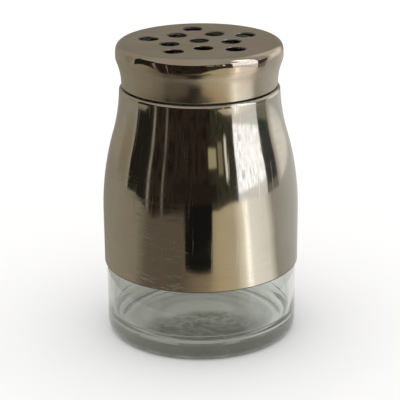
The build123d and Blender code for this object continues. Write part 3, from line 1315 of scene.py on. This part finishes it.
@dataclass
class CapShell:
    """The drawn screw cap: rolled edge, flared skirt, bulging rim and a pierced flat top."""

    sizes: ShakerSizes
    curl_radius: float = 0.00062
    curl_turn: float = 250.0
    hole_radius: float = 0.0031
    dimple: float = 0.0006          # the sheet is drawn down round each hole over this width
    dimple_depth: float = 0.00012
    hole_round: float = 0.00013
    under_bevel: float = 0.00005    # of a hole's lower edge
    under_from: float = 0.95        # share of the dimple's width where its underside starts
    holes_per_ring: int = 5
    inner_ring: float = 0.0103
    outer_ring: float = 0.0165
    first_hole: float = -10.6       # degrees
    plate_radius: float = 0.0235    # the flat top is meshed on its own inside this
    grid: float = 0.0014
    grid_gap: float = 0.6           # share of the grid that stays free along every edge
    hole_columns: int = 48
    hole_steps: int = 5             # edges on a hole's rounded upper edge
    dimple_steps: tuple[int, int] = (7, 6)  # points across a dimple, on top and underneath
    curve_steps: int = 20           # points on each arc of the flare, and edges on the rim's corner
    inner_corner_steps: int = 14    # edges on that corner's inside
    curl_steps: tuple[int, int, int] = (26, 6, 16)  # edges on the curl's outside, tip and inside
    end_rows: int = 2               # rows of each short straight run of the wall
    columns: int = 192
    wall_window: Span = (0.01, 0.47)  # the v of the UV map that the wall fills
    top_middle: Point = (0.25, 0.75)  # where the flat top's middle lies on that map
    top_span: float = 0.48
    under_shift: float = 0.5        # the underside lies this far to its right
    hole_draw: float = 0.85         # how far a hole's wall is drawn in there
    dent: Dent = Dent(-0.0012, -0.0008, 0.0004)     # measured from the rim's widest line and the top
    top_satin: SatinBand = SatinBand(-0.00008, 0.001, 0.34, 0.00006)    # measured from the top
    wall_satin: tuple[SatinBand, ...] = (   # measured from the lower edge and the rim's widest line
        SatinBand(0.001, -0.0006, 0.22, 0.001),
        SatinBand(0.008, -0.003, 0.32, 0.0024),
    )

    @property
    def holes(self) -> list[Point]:
        """The holes' middles.

        Returns:
            The middle one first, then the inner ring and the outer ring.
        """
        step = 360 / self.holes_per_ring
        made = [(0.0, 0.0)]
        rings = ((self.inner_ring, self.first_hole), (self.outer_ring, self.first_hole + step / 2))
        for radius, first in rings:
            for i in range(self.holes_per_ring):
                angle = math.radians(first + i * step)
                made.append((radius * math.cos(angle), radius * math.sin(angle)))
        return made

    def wall_section(self) -> Outline:
        """Draws the sheet from the flat top's edge down, round the curl and back up inside.

        Returns:
            The section, from the inside outwards.
        """
        s = self.sizes
        curve, wall = s.flare, s.cap_wall
        centre = (s.skirt_radius - self.curl_radius, s.cap_edge + self.curl_radius)
        middle = self.curl_radius - wall / 2
        tip = math.radians(-self.curl_turn)
        tip_centre = (centre[0] + middle * math.cos(tip), centre[1] + middle * math.sin(tip))
        steps, rows = self.curve_steps, self.end_rows
        outer_steps, tip_steps, inner_steps = self.curl_steps
        made = Outline()
        made.run((self.plate_radius, s.height), (s.flat_radius, s.height), rows)
        made.add(reversed(s.rim_line(0, steps)))
        made.add(curve.line(0, steps))
        made.run(curve.narrow, (s.skirt_radius, centre[1]), rows)
        made.arc(centre, self.curl_radius, 0, -self.curl_turn, outer_steps)
        made.arc(tip_centre, wall / 2, -self.curl_turn, -self.curl_turn - 180, tip_steps)
        made.arc(centre, self.curl_radius - wall, -self.curl_turn, 0, inner_steps)
        made.run((s.skirt_radius - wall, centre[1]), curve.on_in(0, wall), rows)
        made.add(reversed(curve.line(wall, steps)))
        made.add(s.rim_line(wall, self.inner_corner_steps))
        made.run((s.flat_radius, s.height - wall), (self.plate_radius, s.height - wall), rows)
        return Outline().add(reversed(made.points))

    def dimple_line(self, level: float, shares: np.ndarray) -> list[Point]:
        """One face of the sheet, at shares of the way across the dimple, towards the hole."""
        outer, edge = self.hole_radius + self.dimple, self.hole_radius + self.hole_round
        return [(outer + (edge - outer) * share, level - self.dimple_depth * share**2) for share in shares]

    def hole_section(self) -> Outline:
        """Draws the sheet round a hole, from its top face over the edge and back on its underside.

        Returns:
            The section.
        """
        top, low = self.sizes.height, self.sizes.height - self.sizes.cap_wall
        centre = (self.hole_radius + self.hole_round, top - self.dimple_depth - self.hole_round)
        foot = low - self.dimple_depth
        above, under = self.dimple_steps
        made = Outline().add(self.dimple_line(top, np.linspace(0, 1, above)))
        made.arc(centre, self.hole_round, 90, 180, self.hole_steps)
        made.add([(self.hole_radius, foot + self.under_bevel), (self.hole_radius + self.under_bevel, foot)])
        return made.add(self.dimple_line(low, np.linspace(self.under_from, 0, under)))

    def top_map(self, x: float, y: float) -> Point:
        """Where a point of the flat top lies on the UV map."""
        scale = self.top_span / (2 * self.plate_radius)
        return self.top_middle[0] + x * scale, self.top_middle[1] + y * scale

    def under_map(self, x: float, y: float) -> Point:
        """Where a point of the top's underside lies on the UV map."""
        u, v = self.top_map(x, y)
        return u + self.under_shift, v

    def plate(self, draft: MeshDraft, top_rim: list[int], low_rim: list[int]) -> None:
        """Fills the flat top between the wall and the holes.

        Args:
            draft: the mesh.
            top_rim: the wall's ring on the top face.
            low_rim: the wall's ring on the underside.
        """
        section = self.hole_section()
        turns = np.arange(self.hole_columns) * FULL_TURN / self.hole_columns
        top_loops, low_loops = [top_rim], [low_rim]
        lengths = section.lengths()[:-1]
        spreads = (self.hole_radius + self.dimple) * (1 - self.hole_draw * lengths / lengths[-1])
        for cx, cy in self.holes:
            rows = []
            for (radius, height), spread in zip(section.points, spreads):
                xs, ys = cx + radius * np.cos(turns), cy + radius * np.sin(turns)
                around = [self.top_map(cx + spread * math.cos(t), cy + spread * math.sin(t)) for t in turns]
                rows.append((draft.ring(zip(xs, ys, np.full(len(turns), height))), around + around[:1]))
            for (high, high_map), (low, low_map) in pairwise(rows):
                draft.strip(low, high, low_map, high_map)
            top_loops.append(rows[0][0])
            low_loops.append(rows[-1][0])
        triangles, extra = self.fill(draft, top_loops)
        top, low = self.sizes.height, self.sizes.height - self.sizes.cap_wall
        tops = sum(top_loops, []) + draft.ring((x, y, top) for x, y in extra)
        lows = sum(low_loops, []) + draft.ring((x, y, low) for x, y in extra)
        for a, b, c in triangles:
            up, down = (tops[a], tops[b], tops[c]), (lows[a], lows[c], lows[b])
            draft.face(up, [self.top_map(*draft.vertices[v][:2]) for v in up])
            draft.face(down, [self.under_map(*draft.vertices[v][:2]) for v in down])

    def off_holes(self, x: float, y: float, reach: float) -> bool:
        """Whether a point is further than a reach from the middle of every hole."""
        return all(math.hypot(x - cx, y - cy) > reach for cx, cy in self.holes)

    def fill(self, draft: MeshDraft, loops: list[list[int]]) -> tuple[list[Triangle], list[Point]]:
        """Cuts what lies between the outer loop and the hole loops into triangles.

        Args:
            draft: the mesh that the loops are in.
            loops: the outer loop and then the holes' loops.

        Returns:
            Triangles of numbers into the loops' vertices followed by the extra points, and those points.
        """
        points = [draft.vertices[v][:2] for loop in loops for v in loop]
        edges, first = [], 0
        for loop in loops:
            edges += [(first + i, first + (i + 1) % len(loop)) for i in range(len(loop))]
            first += len(loop)
        clear, gap = self.hole_radius + self.dimple, self.grid_gap * self.grid
        extra = []
        rows = int(2 * self.plate_radius / (self.grid * ROW_RISE)) + 1
        for row in range(-rows // 2, rows // 2 + 1):
            for column in range(-rows // 2, rows // 2 + 1):
                x, y = (column + 0.5 * (row % 2)) * self.grid, row * self.grid * ROW_RISE
                if math.hypot(x, y) < self.plate_radius - gap and self.off_holes(x, y, clear + gap):
                    extra.append((x, y))
        every = [Vector(p) for p in points + extra]
        kept = []
        for a, b, c in delaunay_2d_cdt(every, edges, [], 0, SAME_CORNER)[2]:
            x, y = (every[a] + every[b] + every[c]) / 3
            if self.off_holes(x, y, clear):
                kept.append((a, b, c))
        return kept, extra

    def build(self) -> None:
        """Makes the cap's shell."""
        s = self.sizes
        draft = MeshDraft()
        rings = Lathe.even(self.columns).turn(draft, self.wall_section(), False, self.wall_window)
        self.plate(draft, rings[-1], rings[0])
        finish = PolishedSteel(
            "cap_steel_finish",
            s.rim_radius,
            tint=(0.64, 0.595, 0.52),
            warm=(0.63, 0.53, 0.45),
            shine=0.04,
            smear=0.03,
            streaks=0.08,
            wave=0.00006,
            dent=Dent(s.rim_widest + self.dent.low, s.height + self.dent.high, self.dent.depth),
            bands=(
                self.top_satin.measured(s.height, s.height),
                *(band.measured(s.cap_edge, s.rim_widest) for band in self.wall_satin),
            ),
        )
        mount(draft, "cap_drawn", finish, Body.CAP, Slot.CAP, "cap_shell")


@dataclass
class ThreadedInsert:
    """The moulded ring pressed into the shell: threaded bore, top flange and outer ribs."""

    sizes: ShakerSizes
    clearance: float = 0.00005
    wall: float = 0.0009
    flange: float = 0.001
    opening: float = 0.0203
    ribs: int = 12
    rib_width: float = 0.0012
    rib_side: float = 0.0006        # width of a rib's flank, in radians of the wall
    thread_turns: float = 1.6
    thread_foot: float = 0.086951   # keeps it half a pitch off the jar's thread all round
    thread_back: float = 0.75       # share of a turn by which it starts before the jar's
    flange_corner: float = 0.0003   # between the flange and the bore
    bore_step: float = 0.00001      # keeps that corner's foot off the threaded wall
    mouth_bevel: float = 0.0002
    curve_steps: int = 24           # points on each arc of the line that the shell leaves
    corner_steps: int = 14          # edges on that line's rim corner
    side_rows: int = 20
    opening_rows: int = 3
    bore_rows: int = 74
    columns: int = 180

    def room(self) -> list[Point]:
        """Draws the line that the shell leaves for the insert.

        Returns:
            Points from the skirt's edge up to the flat top.
        """
        s = self.sizes
        inset = s.cap_wall + self.clearance
        made = Outline().add([(s.skirt_radius - inset, s.cap_edge)])
        made.add(reversed(s.flare.line(inset, self.curve_steps)))
        return made.add(s.rim_line(inset, self.corner_steps)).points

    @property
    def rib_half(self) -> float:
        """Half a rib's width, in radians of the wall."""
        return self.rib_width / 2 / (self.sizes.insert_bore + self.wall)

    def angles(self) -> np.ndarray:
        """Spaces the columns evenly, with pairs of them at the ribs' flanks.

        Returns:
            The columns' angles.
        """
        near, far = self.rib_half, self.rib_half + self.rib_side
        made = list(np.arange(self.columns) * FULL_TURN / self.columns)
        for i in range(self.ribs):
            middle = i * FULL_TURN / self.ribs
            clear = far + self.rib_side
            made = [a for a in made if abs((a - middle + math.pi) % FULL_TURN - math.pi) > clear]
            made += [(middle + off) % FULL_TURN for off in (-far, -near, 0.0, near, far)]
        return np.array(sorted(made))

    def build(self) -> None:
        """Makes the insert in one closed skin."""
        s = self.sizes
        top = s.height - s.cap_wall - self.clearance
        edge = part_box("threaded_insert")[0].z
        outer = s.insert_bore + self.wall
        under = top - self.flange
        room = self.room()
        radii, heights = zip(*room)
        thread = s.thread(self.thread_foot, self.thread_turns, self.thread_back)

        def relief(angles: np.ndarray, at: np.ndarray, height: np.ndarray) -> np.ndarray:
            """Shapes the ribs, out to the shell, and the thread in the bore.

            Args:
                angles: where, round the axis.
                at: the plain radius there.
                height: where, along the axis.

            Returns:
                What is added to the radius.
            """
            step = FULL_TURN / self.ribs
            off = np.abs((angles + step / 2) % step - step / 2)
            reach = np.maximum(np.interp(height, heights, radii) - at, 0.0)
            ribs = only_at(outer, at, np.where(off < self.rib_half + SAME_ANGLE, reach, 0.0))
            return ribs - only_at(s.insert_bore, at, thread.ridge(angles, height))

        section = Outline()
        section.run((outer, edge), (outer, under), self.side_rows)
        section.add([(float(np.interp(under, heights, radii)), under)])
        section.add((r, z) for r, z in room if under <= z <= top)
        section.run((self.opening, top), (self.opening, under), self.opening_rows)
        section.add([(s.insert_bore - self.flange_corner, under)])
        section.add([(s.insert_bore - self.bore_step, under - self.flange_corner)])
        high, low = under - 2 * self.flange_corner, edge + self.mouth_bevel
        section.run((s.insert_bore, high), (s.insert_bore, low), self.bore_rows)
        section.add([(s.insert_bore + self.mouth_bevel, edge)])
        draft = Lathe(self.angles(), relief).skin(section)
        mount(draft, "insert_moulded", MouldedPlastic(), Body.CAP, Slot.INSERT, "threaded_insert")


@dataclass
class CapLiner:
    """The sealing washer between the jar's rim and the insert's flange."""

    sizes: ShakerSizes
    bore_gap: float = 0.0003        # how far it stays outside the jar's bore
    edge_round: float = 0.0002
    edge_steps: int = 4             # edges on each rounded edge
    tint: Colour = (0.8, 0.8, 0.77)
    columns: int = 128

    def build(self) -> None:
        """Makes the washer, with rounded edges."""
        low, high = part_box("cap_liner")
        outer, inner = high.x, self.sizes.bore_radius + self.bore_gap
        corners = [(inner, low.z), (outer, low.z), (outer, high.z), (inner, high.z)]
        section = Outline()
        for before, corner, after in zip(corners[-1:] + corners, corners, corners[1:] + corners):
            section.round(before, corner, after, self.edge_round, self.edge_steps)
        draft = Lathe.even(self.columns).skin(section)
        finish = Silicone("liner_silicone_finish", self.tint)
        mount(draft, "liner_washer", finish, Body.LINER, Slot.LINER, "cap_liner")


@dataclass
class SleeveBond:
    """The bead of adhesive that holds the sleeve to the jar's shoulder."""

    sizes: ShakerSizes
    slack: float = 0.00002
    short: float = 0.0004           # how far it stops short of its CAD node at each end
    tint: Colour = (0.7, 0.7, 0.67)
    steps: int = 12                 # points up each of its faces
    columns: int = 128

    def build(self) -> None:
        """Makes the bead."""
        s = self.sizes
        low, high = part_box("sleeve_bond")
        outer, inner = s.sleeve_wall + self.slack, s.glass_inset - self.slack
        first = s.shoulder.out_angle(low.z + self.short, 0)
        last = s.shoulder.out_angle(high.z - self.short, 0)
        angles = np.linspace(first, last, self.steps)
        section = Outline()
        section.add(s.shoulder.on_out(a, outer) for a in angles)
        section.add(s.shoulder.on_out(a, inner) for a in angles[::-1])
        draft = Lathe.even(self.columns).skin(section)
        finish = Silicone("bond_silicone_finish", self.tint)
        mount(draft, "bond_bead", finish, Body.JAR, Slot.BOND, "sleeve_bond")


# ---------------------------------------------------------------- studio


class Sight(Enum):
    """What sees a panel of the studio: mirrors, the view through glass, or both."""

    MIRRORS = (True, False)
    GLASS = (False, True)
    BOTH = (True, True)


@dataclass(frozen=True)
class Viewpoint:
    """The camera."""

    place: Place = (0.0, -0.44297, 0.20326)
    pitch: float = 0.34474          # radians below level
    yaw: float = -0.00046
    roll: float = -0.0091
    focal_pixels: float = 1406.6
    frame_pixels: float = 400.0
    clip: Span = (0.01, 50.0)

    def build(self) -> None:
        """Makes the camera and hands it to the scene."""
        data = bpy.data.cameras.new("camera")
        data.lens = self.focal_pixels / self.frame_pixels * data.sensor_width
        data.clip_start, data.clip_end = self.clip
        level = math.cos(self.pitch)
        ahead = Vector((math.sin(self.yaw) * level, math.cos(self.yaw) * level, -math.sin(self.pitch)))
        right = ahead.cross(Vector((0, 0, 1))).normalized()
        up = right.cross(ahead)
        across = right * math.cos(self.roll) + up * math.sin(self.roll)
        above = up * math.cos(self.roll) - right * math.sin(self.roll)
        turn = Matrix((across, above, -ahead)).transposed()
        camera = bpy.data.objects.new("camera", data)
        camera.matrix_world = Matrix.Translation(self.place) @ turn.to_4x4()
        bpy.context.scene.collection.objects.link(camera)
        bpy.context.scene.camera = camera
        LOG.info("camera: %.1f mm lens", data.lens)


def limit_sight(panel: bpy.types.Object, sight: Sight) -> None:
    """Keeps a panel out of the direct view and keeps its light off matt surfaces.

    Args:
        panel: the panel.
        sight: what still sees it.
    """
    panel.visible_glossy, panel.visible_transmission = sight.value
    panel.visible_camera = False
    panel.visible_diffuse = False
    panel.visible_volume_scatter = False
    panel.visible_shadow = False


def stage_panel(draft: MeshDraft, material: bpy.types.Material, sight: Sight = Sight.MIRRORS) -> None:
    """Sets up a panel under its material's name.

    Args:
        draft: its mesh.
        material: its glow.
        sight: what sees it.
    """
    panel = draft.make(material.name, material, "panel")
    limit_sight(panel, sight)


def lay_ring(
    name: str, radii: Sequence[float], height: float, material: bpy.types.Material
) -> bpy.types.Object:
    """Lays one flat ring.

    Args:
        name: its name.
        radii: its circles, from the inside.
        height: how high it lies.
        material: its finish.

    Returns:
        The ring.
    """
    section = Outline().add((radius, height) for radius in reversed(radii))
    ring = Lathe.even(RING_COLUMNS).skin(section, False).make(name, material, "ring")
    return ring


@dataclass(frozen=True)
class PanelGlow:
    """A plain glow that fades at the panel's edges."""

    tone: Colour
    feather: float                      # share of each side over which it fades out
    streaks: float = 0.0                # how strongly upright streaks darken it
    lines: Noise = Noise(52.0, 3.0, 0.6, stretch=(1.0, 0.16, 1.0), fade=(0.45, 0.62))

    def dress(self, name: str) -> bpy.types.Material:
        """Builds the finish.

        Args:
            name: the panel's name.

        Returns:
            The material.
        """
        tree = Glow(name)
        place = tree.node("ShaderNodeTexCoord", output="UV")
        u, v, _ = tree.parts(place)
        across, up = (side.within(self.feather, 1 - self.feather, self.feather) for side in (u, v))
        tone = solid(self.tone)
        if self.streaks:
            tone = tree.mixed(self.lines.over(place) * self.streaks, tone, solid(BLACK))
        return tree.close(tone, across * up)


@dataclass(frozen=True)
class Card:
    """A curved panel of the studio: a softbox, a wall or a dark flag."""

    name: str
    azimuths: Span                      # degrees from the camera's side, positive to its right
    elevations: Span
    tone: Colour
    distance: float
    feather: float
    lean: float = 0.0                   # how much the sides spread for each degree of height above level
    streaks: float = 0.0
    sight: Sight = Sight.MIRRORS
    steps: int = 24
    centre: float = 0.05                # height of the sphere's middle

    def build(self) -> None:
        """Makes the panel as a patch of a sphere round the shaker."""
        draft = MeshDraft()
        shares = np.linspace(0, 1, self.steps + 1)
        levels = np.linspace(*self.elevations, self.steps // 2 + 1)
        rows = []
        for level, v in zip(levels, np.linspace(0, 1, len(levels))):
            spread = self.lean * max(level, 0.0)
            left, right = self.azimuths[0] - spread, self.azimuths[1] + spread
            across = np.radians(left * (1 - shares) + right * shares)
            flat = self.distance * math.cos(math.radians(level))
            height = self.distance * math.sin(math.radians(level)) + self.centre
            places = zip(flat * np.sin(across), -flat * np.cos(across), np.full(len(shares), height))
            rows.append((draft.ring(places), [(u, v) for u in shares]))
        for (low, low_map), (high, high_map) in pairwise(rows):
            for i in range(self.steps):
                corners = (low_map[i], low_map[i + 1], high_map[i + 1], high_map[i])
                draft.face((low[i], low[i + 1], high[i + 1], high[i]), corners)
        glow = PanelGlow(self.tone, self.feather, self.streaks)
        stage_panel(draft, glow.dress(self.name), self.sight)


@dataclass(frozen=True)
class Board:
    """A flat black board that stands before the shaker and is seen only in reflections."""

    name: str
    sides: Span
    heights: Span
    tone: Colour
    feather: float = 0.04
    ahead: float = 0.1015

    def build(self) -> None:
        """Makes the board."""
        draft = MeshDraft()
        corners = [(0, 0), (1, 0), (1, 1), (0, 1)]
        board = draft.ring((self.sides[u], -self.ahead, self.heights[v]) for u, v in corners)
        draft.face(board, corners)
        stage_panel(draft, PanelGlow(self.tone, self.feather).dress(self.name))


@dataclass(frozen=True)
class TableCard:
    """A table top of card, seen only in reflections, toned with painted light and shade. Beyond its edge lies
    a dark room.
    """

    name: str = "table_card"
    inner: float = 0.066
    height: float = 0.0006
    edge: tuple[Point, ...] = (         # azimuth in degrees, and how far away the table ends there
        (-180.0, 0.45),
        (-106.0, 0.45),
        (-97.0, 0.42),
        (-80.0, 0.46),
        (-67.0, 0.338),
        (-53.0, 0.232),
        (-28.0, 0.330),
        (0.0, 0.37),
        (20.0, 0.395),
        (34.0, 0.56),
        (55.0, 0.515),
        (77.0, 0.415),
        (103.0, 0.36),
        (107.0, 0.4),
        (180.0, 0.45),
    )
    # azimuth in degrees and the tone there: painted light and shade, with a pool of window light glowing to
    # the right
    tones: tuple[tuple[float, Colour], ...] = (
        (-180.0, (0.36, 0.335, 0.28)),
        (-140.0, (0.30, 0.28, 0.225)),
        (-110.0, (0.325, 0.30, 0.235)),
        (-98.0, (0.31, 0.28, 0.21)),
        (-72.0, (0.27, 0.24, 0.175)),
        (-58.0, (0.135, 0.113, 0.083)),
        (-20.0, (0.13, 0.103, 0.072)),
        (6.0, (0.31, 0.25, 0.155)),
        (18.0, (0.52, 0.43, 0.26)),
        (36.0, (0.56, 0.48, 0.33)),
        (46.0, (1.0, 0.93, 0.76)),
        (50.0, (1.7, 1.66, 1.5)),
        (55.0, (1.08, 1.05, 0.95)),
        (76.0, (0.90, 0.88, 0.78)),
        (87.0, (0.36, 0.35, 0.29)),
        (112.0, (0.46, 0.455, 0.41)),
        (150.0, (0.58, 0.575, 0.54)),
        (180.0, (0.36, 0.335, 0.28)),
    )
    steps: int = 180

    def build(self) -> None:
        """Makes the table top, from behind and round to the right."""
        draft = MeshDraft()
        azimuths = np.linspace(-180, 180, self.steps + 1)
        shares = np.linspace(0, 1, self.steps + 1)
        ends = np.interp(azimuths, *zip(*self.edge))
        turns = np.radians(azimuths[:-1])
        sides = []
        for radii, depth in ((ends[:-1], 1.0), (np.full(self.steps, self.inner), 0.0)):
            places = zip(radii * np.sin(turns), -radii * np.cos(turns), np.full(self.steps, self.height))
            sides.append((draft.ring(places), [(u, depth) for u in shares]))
        (outer, outer_map), (inner, inner_map) = sides
        draft.strip(outer, inner, outer_map, inner_map)
        stage_panel(draft, self.dress())

    def dress(self) -> bpy.types.Material:
        """Builds the glow, whose tone changes round the shaker.

        Returns:
            The material.
        """
        tree = Glow(self.name)
        around = tree.parts(tree.node("ShaderNodeTexCoord", output="UV"))[0]
        stops = [((azimuth + 180) / 360, tone) for azimuth, tone in self.tones]
        return tree.close(tree.node("ShaderNodeValToRGB", {"stops": stops}, {0: around}))


@dataclass(frozen=True)
class GreyCard:
    """A grey card under the floor, seen only through the glass, with a painted shadow in its middle."""

    name: str = "grey_card"
    radii: tuple[float, ...] = (0.0, 0.05, 0.4, 4.0)
    height: float = -0.0001
    # the tones paint the light and shade on the table round the jar: darker near it and to the left, lighter
    # to the right
    middle_tone: Colour = (0.32, 0.315, 0.285)
    far_tone: Colour = (0.52, 0.515, 0.5)
    far: Span = (0.029, 0.06)           # the radii between which it takes over
    right_tone: Colour = (0.7, 0.7, 0.68)
    right: Span = (0.01, 0.034)
    left_tone: Colour = (0.36, 0.353, 0.325)
    left: Span = (0.02, 0.045)
    side_share: float = 0.8             # how far the tones of the sides take over
    # a painted shadow under the jar, mottled between two dark tones, with a wandering edge
    shadow_tones: tuple[Colour, Colour] = ((0.06, 0.064, 0.045), (0.18, 0.18, 0.147))
    shadow_centre: Point = (0.003, -0.0095)
    shadow_squeeze: float = 0.68         # it is wider than deep by this
    shadow_edge: Span = (0.014, 0.0205)
    shadow_bays: float = 0.006           # how far its edge wanders
    bays: Noise = Noise(110.0, 3.0)
    mottle: Noise = Noise(350.0, 4.0, 0.7, fade=(0.4, 0.6))

    def build(self) -> None:
        """Lays the card."""
        card = lay_ring(self.name, self.radii, self.height, self.dress())
        limit_sight(card, Sight.GLASS)

    def dress(self) -> bpy.types.Material:
        """Builds the glow.

        Returns:
            The material.
        """
        tree = Glow(self.name)
        place = tree.place()
        x, y, _ = tree.parts(place)
        out = (x * x + y * y) ** 0.5
        off_x = (x - self.shadow_centre[0]) * self.shadow_squeeze
        off_y = y - self.shadow_centre[1]
        # the painted shadow's shape: an ellipse with a wandering edge
        shadow_spot = (off_x * off_x + off_y * off_y) ** 0.5 + self.bays.over(place) * self.shadow_bays
        tone = tree.mixed(self.mottle.over(place), *map(solid, self.shadow_tones))
        layers = (
            (shadow_spot.fades(*self.shadow_edge), self.middle_tone),
            (out.fades(*self.far), self.far_tone),
            (x.fades(*self.right) * self.side_share, self.right_tone),
            ((0 - x).fades(*self.left) * self.side_share, self.left_tone),
        )
        for share, colour in layers:
            tone = tree.mixed(share, tone, solid(colour))
        return tree.close(tone)


@dataclass(frozen=True)
class Studio:
    """A pale floor under a soft sky, with softboxes and flags round the shaker."""

    sky: Colour = (1.0, 0.995, 0.985)
    glow: float = 1.12
    floor_tone: Colour = (0.95, 0.95, 0.945)
    floor_dark: float = 0.985           # brightness of the floor's darker grain
    floor_rough: float = 0.9
    floor_shine: float = 0.1
    floor_grain: Noise = Noise(900.0, 3.0)
    near_floor: tuple[float, ...] = (0.0, 0.04, 0.07)   # mirrors see the floor itself up to here
    far_floor: tuple[float, ...] = (0.07, 0.2, 1.0, 4.0)
    cards: tuple[Card, ...] = (
        Card("pale_room", (-180, 180), (-89, 89.5), (0.40, 0.37, 0.32), 1.5, 0.0001, sight=Sight.BOTH),
        Card("low_wall", (-180, 180), (-4, 30), (0.42, 0.42, 0.39), 1.45, 0.0001, sight=Sight.GLASS),
        Card("low_wall_middle", (147, 213), (-4, 30), (0.2, 0.2, 0.185), 1.44, 0.08, sight=Sight.GLASS),
        Card("back_wall_left", (-152, -93), (-20, 62), (0.335, 0.31, 0.25), 1.3, 0.1),
        Card("wood_panel", (-122, -95.5), (-15, 30), (0.28, 0.245, 0.165), 1.29, 0.3),
        Card("back_wall_right", (104, 156), (-20, 62), (0.62, 0.60, 0.53), 1.3, 0.2),
        Card("bright_wall", (104, 152), (-16, 26), (0.92, 0.89, 0.81), 1.28, 0.3),
        Card("back_wall_middle", (130, 232), (-20, 62), (0.28, 0.26, 0.215), 1.35, 0.2),
        Card("dark_room", (-95, 85), (-50.0, 28), (0.034, 0.024, 0.018), 1.2, 0.01, lean=0.1, streaks=0.6),
        Card("dark_side", (80, 104), (-50.0, 8), (0.05, 0.052, 0.047), 1.21, 0.01),
        Card("sill_side", (85, 104), (-14.0, -5.0), (0.2, 0.19, 0.14), 1.19, 0.05),
        Card("green_side", (-95, -69), (-50.0, 34), (0.018, 0.017, 0.012), 1.19, 0.03, lean=0.1),
        Card("green_curtain", (12, 43), (-30, 26), (0.058, 0.056, 0.034), 1.17, 0.05, streaks=0.8),
        Card("khaki_blind", (9.5, 20.5), (10, 21), (0.42, 0.37, 0.22), 1.15, 0.1),
        Card("olive_blind", (21.8, 28.5), (6, 23), (0.24, 0.21, 0.12), 1.15, 0.15),
        Card("white_post", (30.6, 34.0), (2, 24), (0.9, 0.9, 0.78), 1.14, 0.2),
        Card("window_softbox", (44.0, 84), (-2.5, 34), (1.98, 2.04, 2.1), 1.1, 0.015, streaks=0.8),
        Card("window_top", (62.0, 84), (33.5, 61), (2.4, 2.45, 2.45), 1.1, 0.12),
        Card("window_sill", (43.5, 85), (-11.0, -2.0), (0.92, 0.92, 0.87), 1.1, 0.04, streaks=0.3),
        Card("light_post_left", (-66.2, -60.8), (-22, 24), (0.3, 0.28, 0.23), 1.1, 0.4),
        Card("light_post_right", (-47.0, -43), (-24, 24), (0.2, 0.18, 0.14), 1.1, 0.4),
    )
    boards: tuple[Board, ...] = (
        Board("low_flag", (-0.0295, 0.0207), (0.0008, 0.049), (0.009, 0.009, 0.0085)),
        Board("wide_flag", (-0.06, 0.031), (0.0485, 0.065), (0.022, 0.016, 0.012)),
    )

    def build(self) -> None:
        """Makes the sky, the floor and the panels."""
        self.light_sky()
        self.lay_floor()
        panels = (GreyCard(), *self.cards, TableCard(), *self.boards)
        for panel in panels:
            panel.build()
        LOG.info("studio: %d panels", len(panels))

    def light_sky(self) -> None:
        """Gives the world a soft even glow."""
        world = bpy.data.worlds.new("soft_sky")
        bpy.context.scene.world = world
        tree = ShaderTree(world)
        soft = tree.node("ShaderNodeBackground", {}, {"Color": solid(self.sky), "Strength": self.glow})
        tree.node("ShaderNodeOutputWorld", {}, {"Surface": soft})

    def lay_floor(self) -> None:
        """Lays a round pale floor. Mirrors see only its middle, and the table card beyond that."""
        tree = Surface("floor_finish")
        grain = self.floor_grain.over(tree.place())
        colour = tree.mixed(grain, solid(self.floor_tone, self.floor_dark), solid(self.floor_tone))
        inputs = {"Base Color": colour, "Roughness": self.floor_rough, "Specular IOR Level": self.floor_shine}
        material = tree.close(inputs)
        near = lay_ring("floor_near", self.near_floor, 0.0, material)
        far = lay_ring("floor_far", self.far_floor, 0.0, material)
        far.visible_glossy = False
        near.visible_transmission = far.visible_transmission = False


def main() -> None:
    """Builds the camera, the studio and the shaker's pieces, in order."""
    logging.basicConfig(level=logging.INFO, format="%(name)s: %(message)s")
    scene = bpy.context.scene
    scene.view_settings.view_transform = "Standard"
    scene.cycles.max_bounces = 24
    scene.cycles.transmission_bounces = 24
    scene.cycles.glossy_bounces = 10
    Viewpoint().build()
    Studio().build()
    sizes = ShakerSizes()
    for part in (GlassJar, SteelSleeve, SleeveBond, CapShell, ThreadedInsert, CapLiner):
        part(sizes).build()


if __name__ == "__main__":
    main()
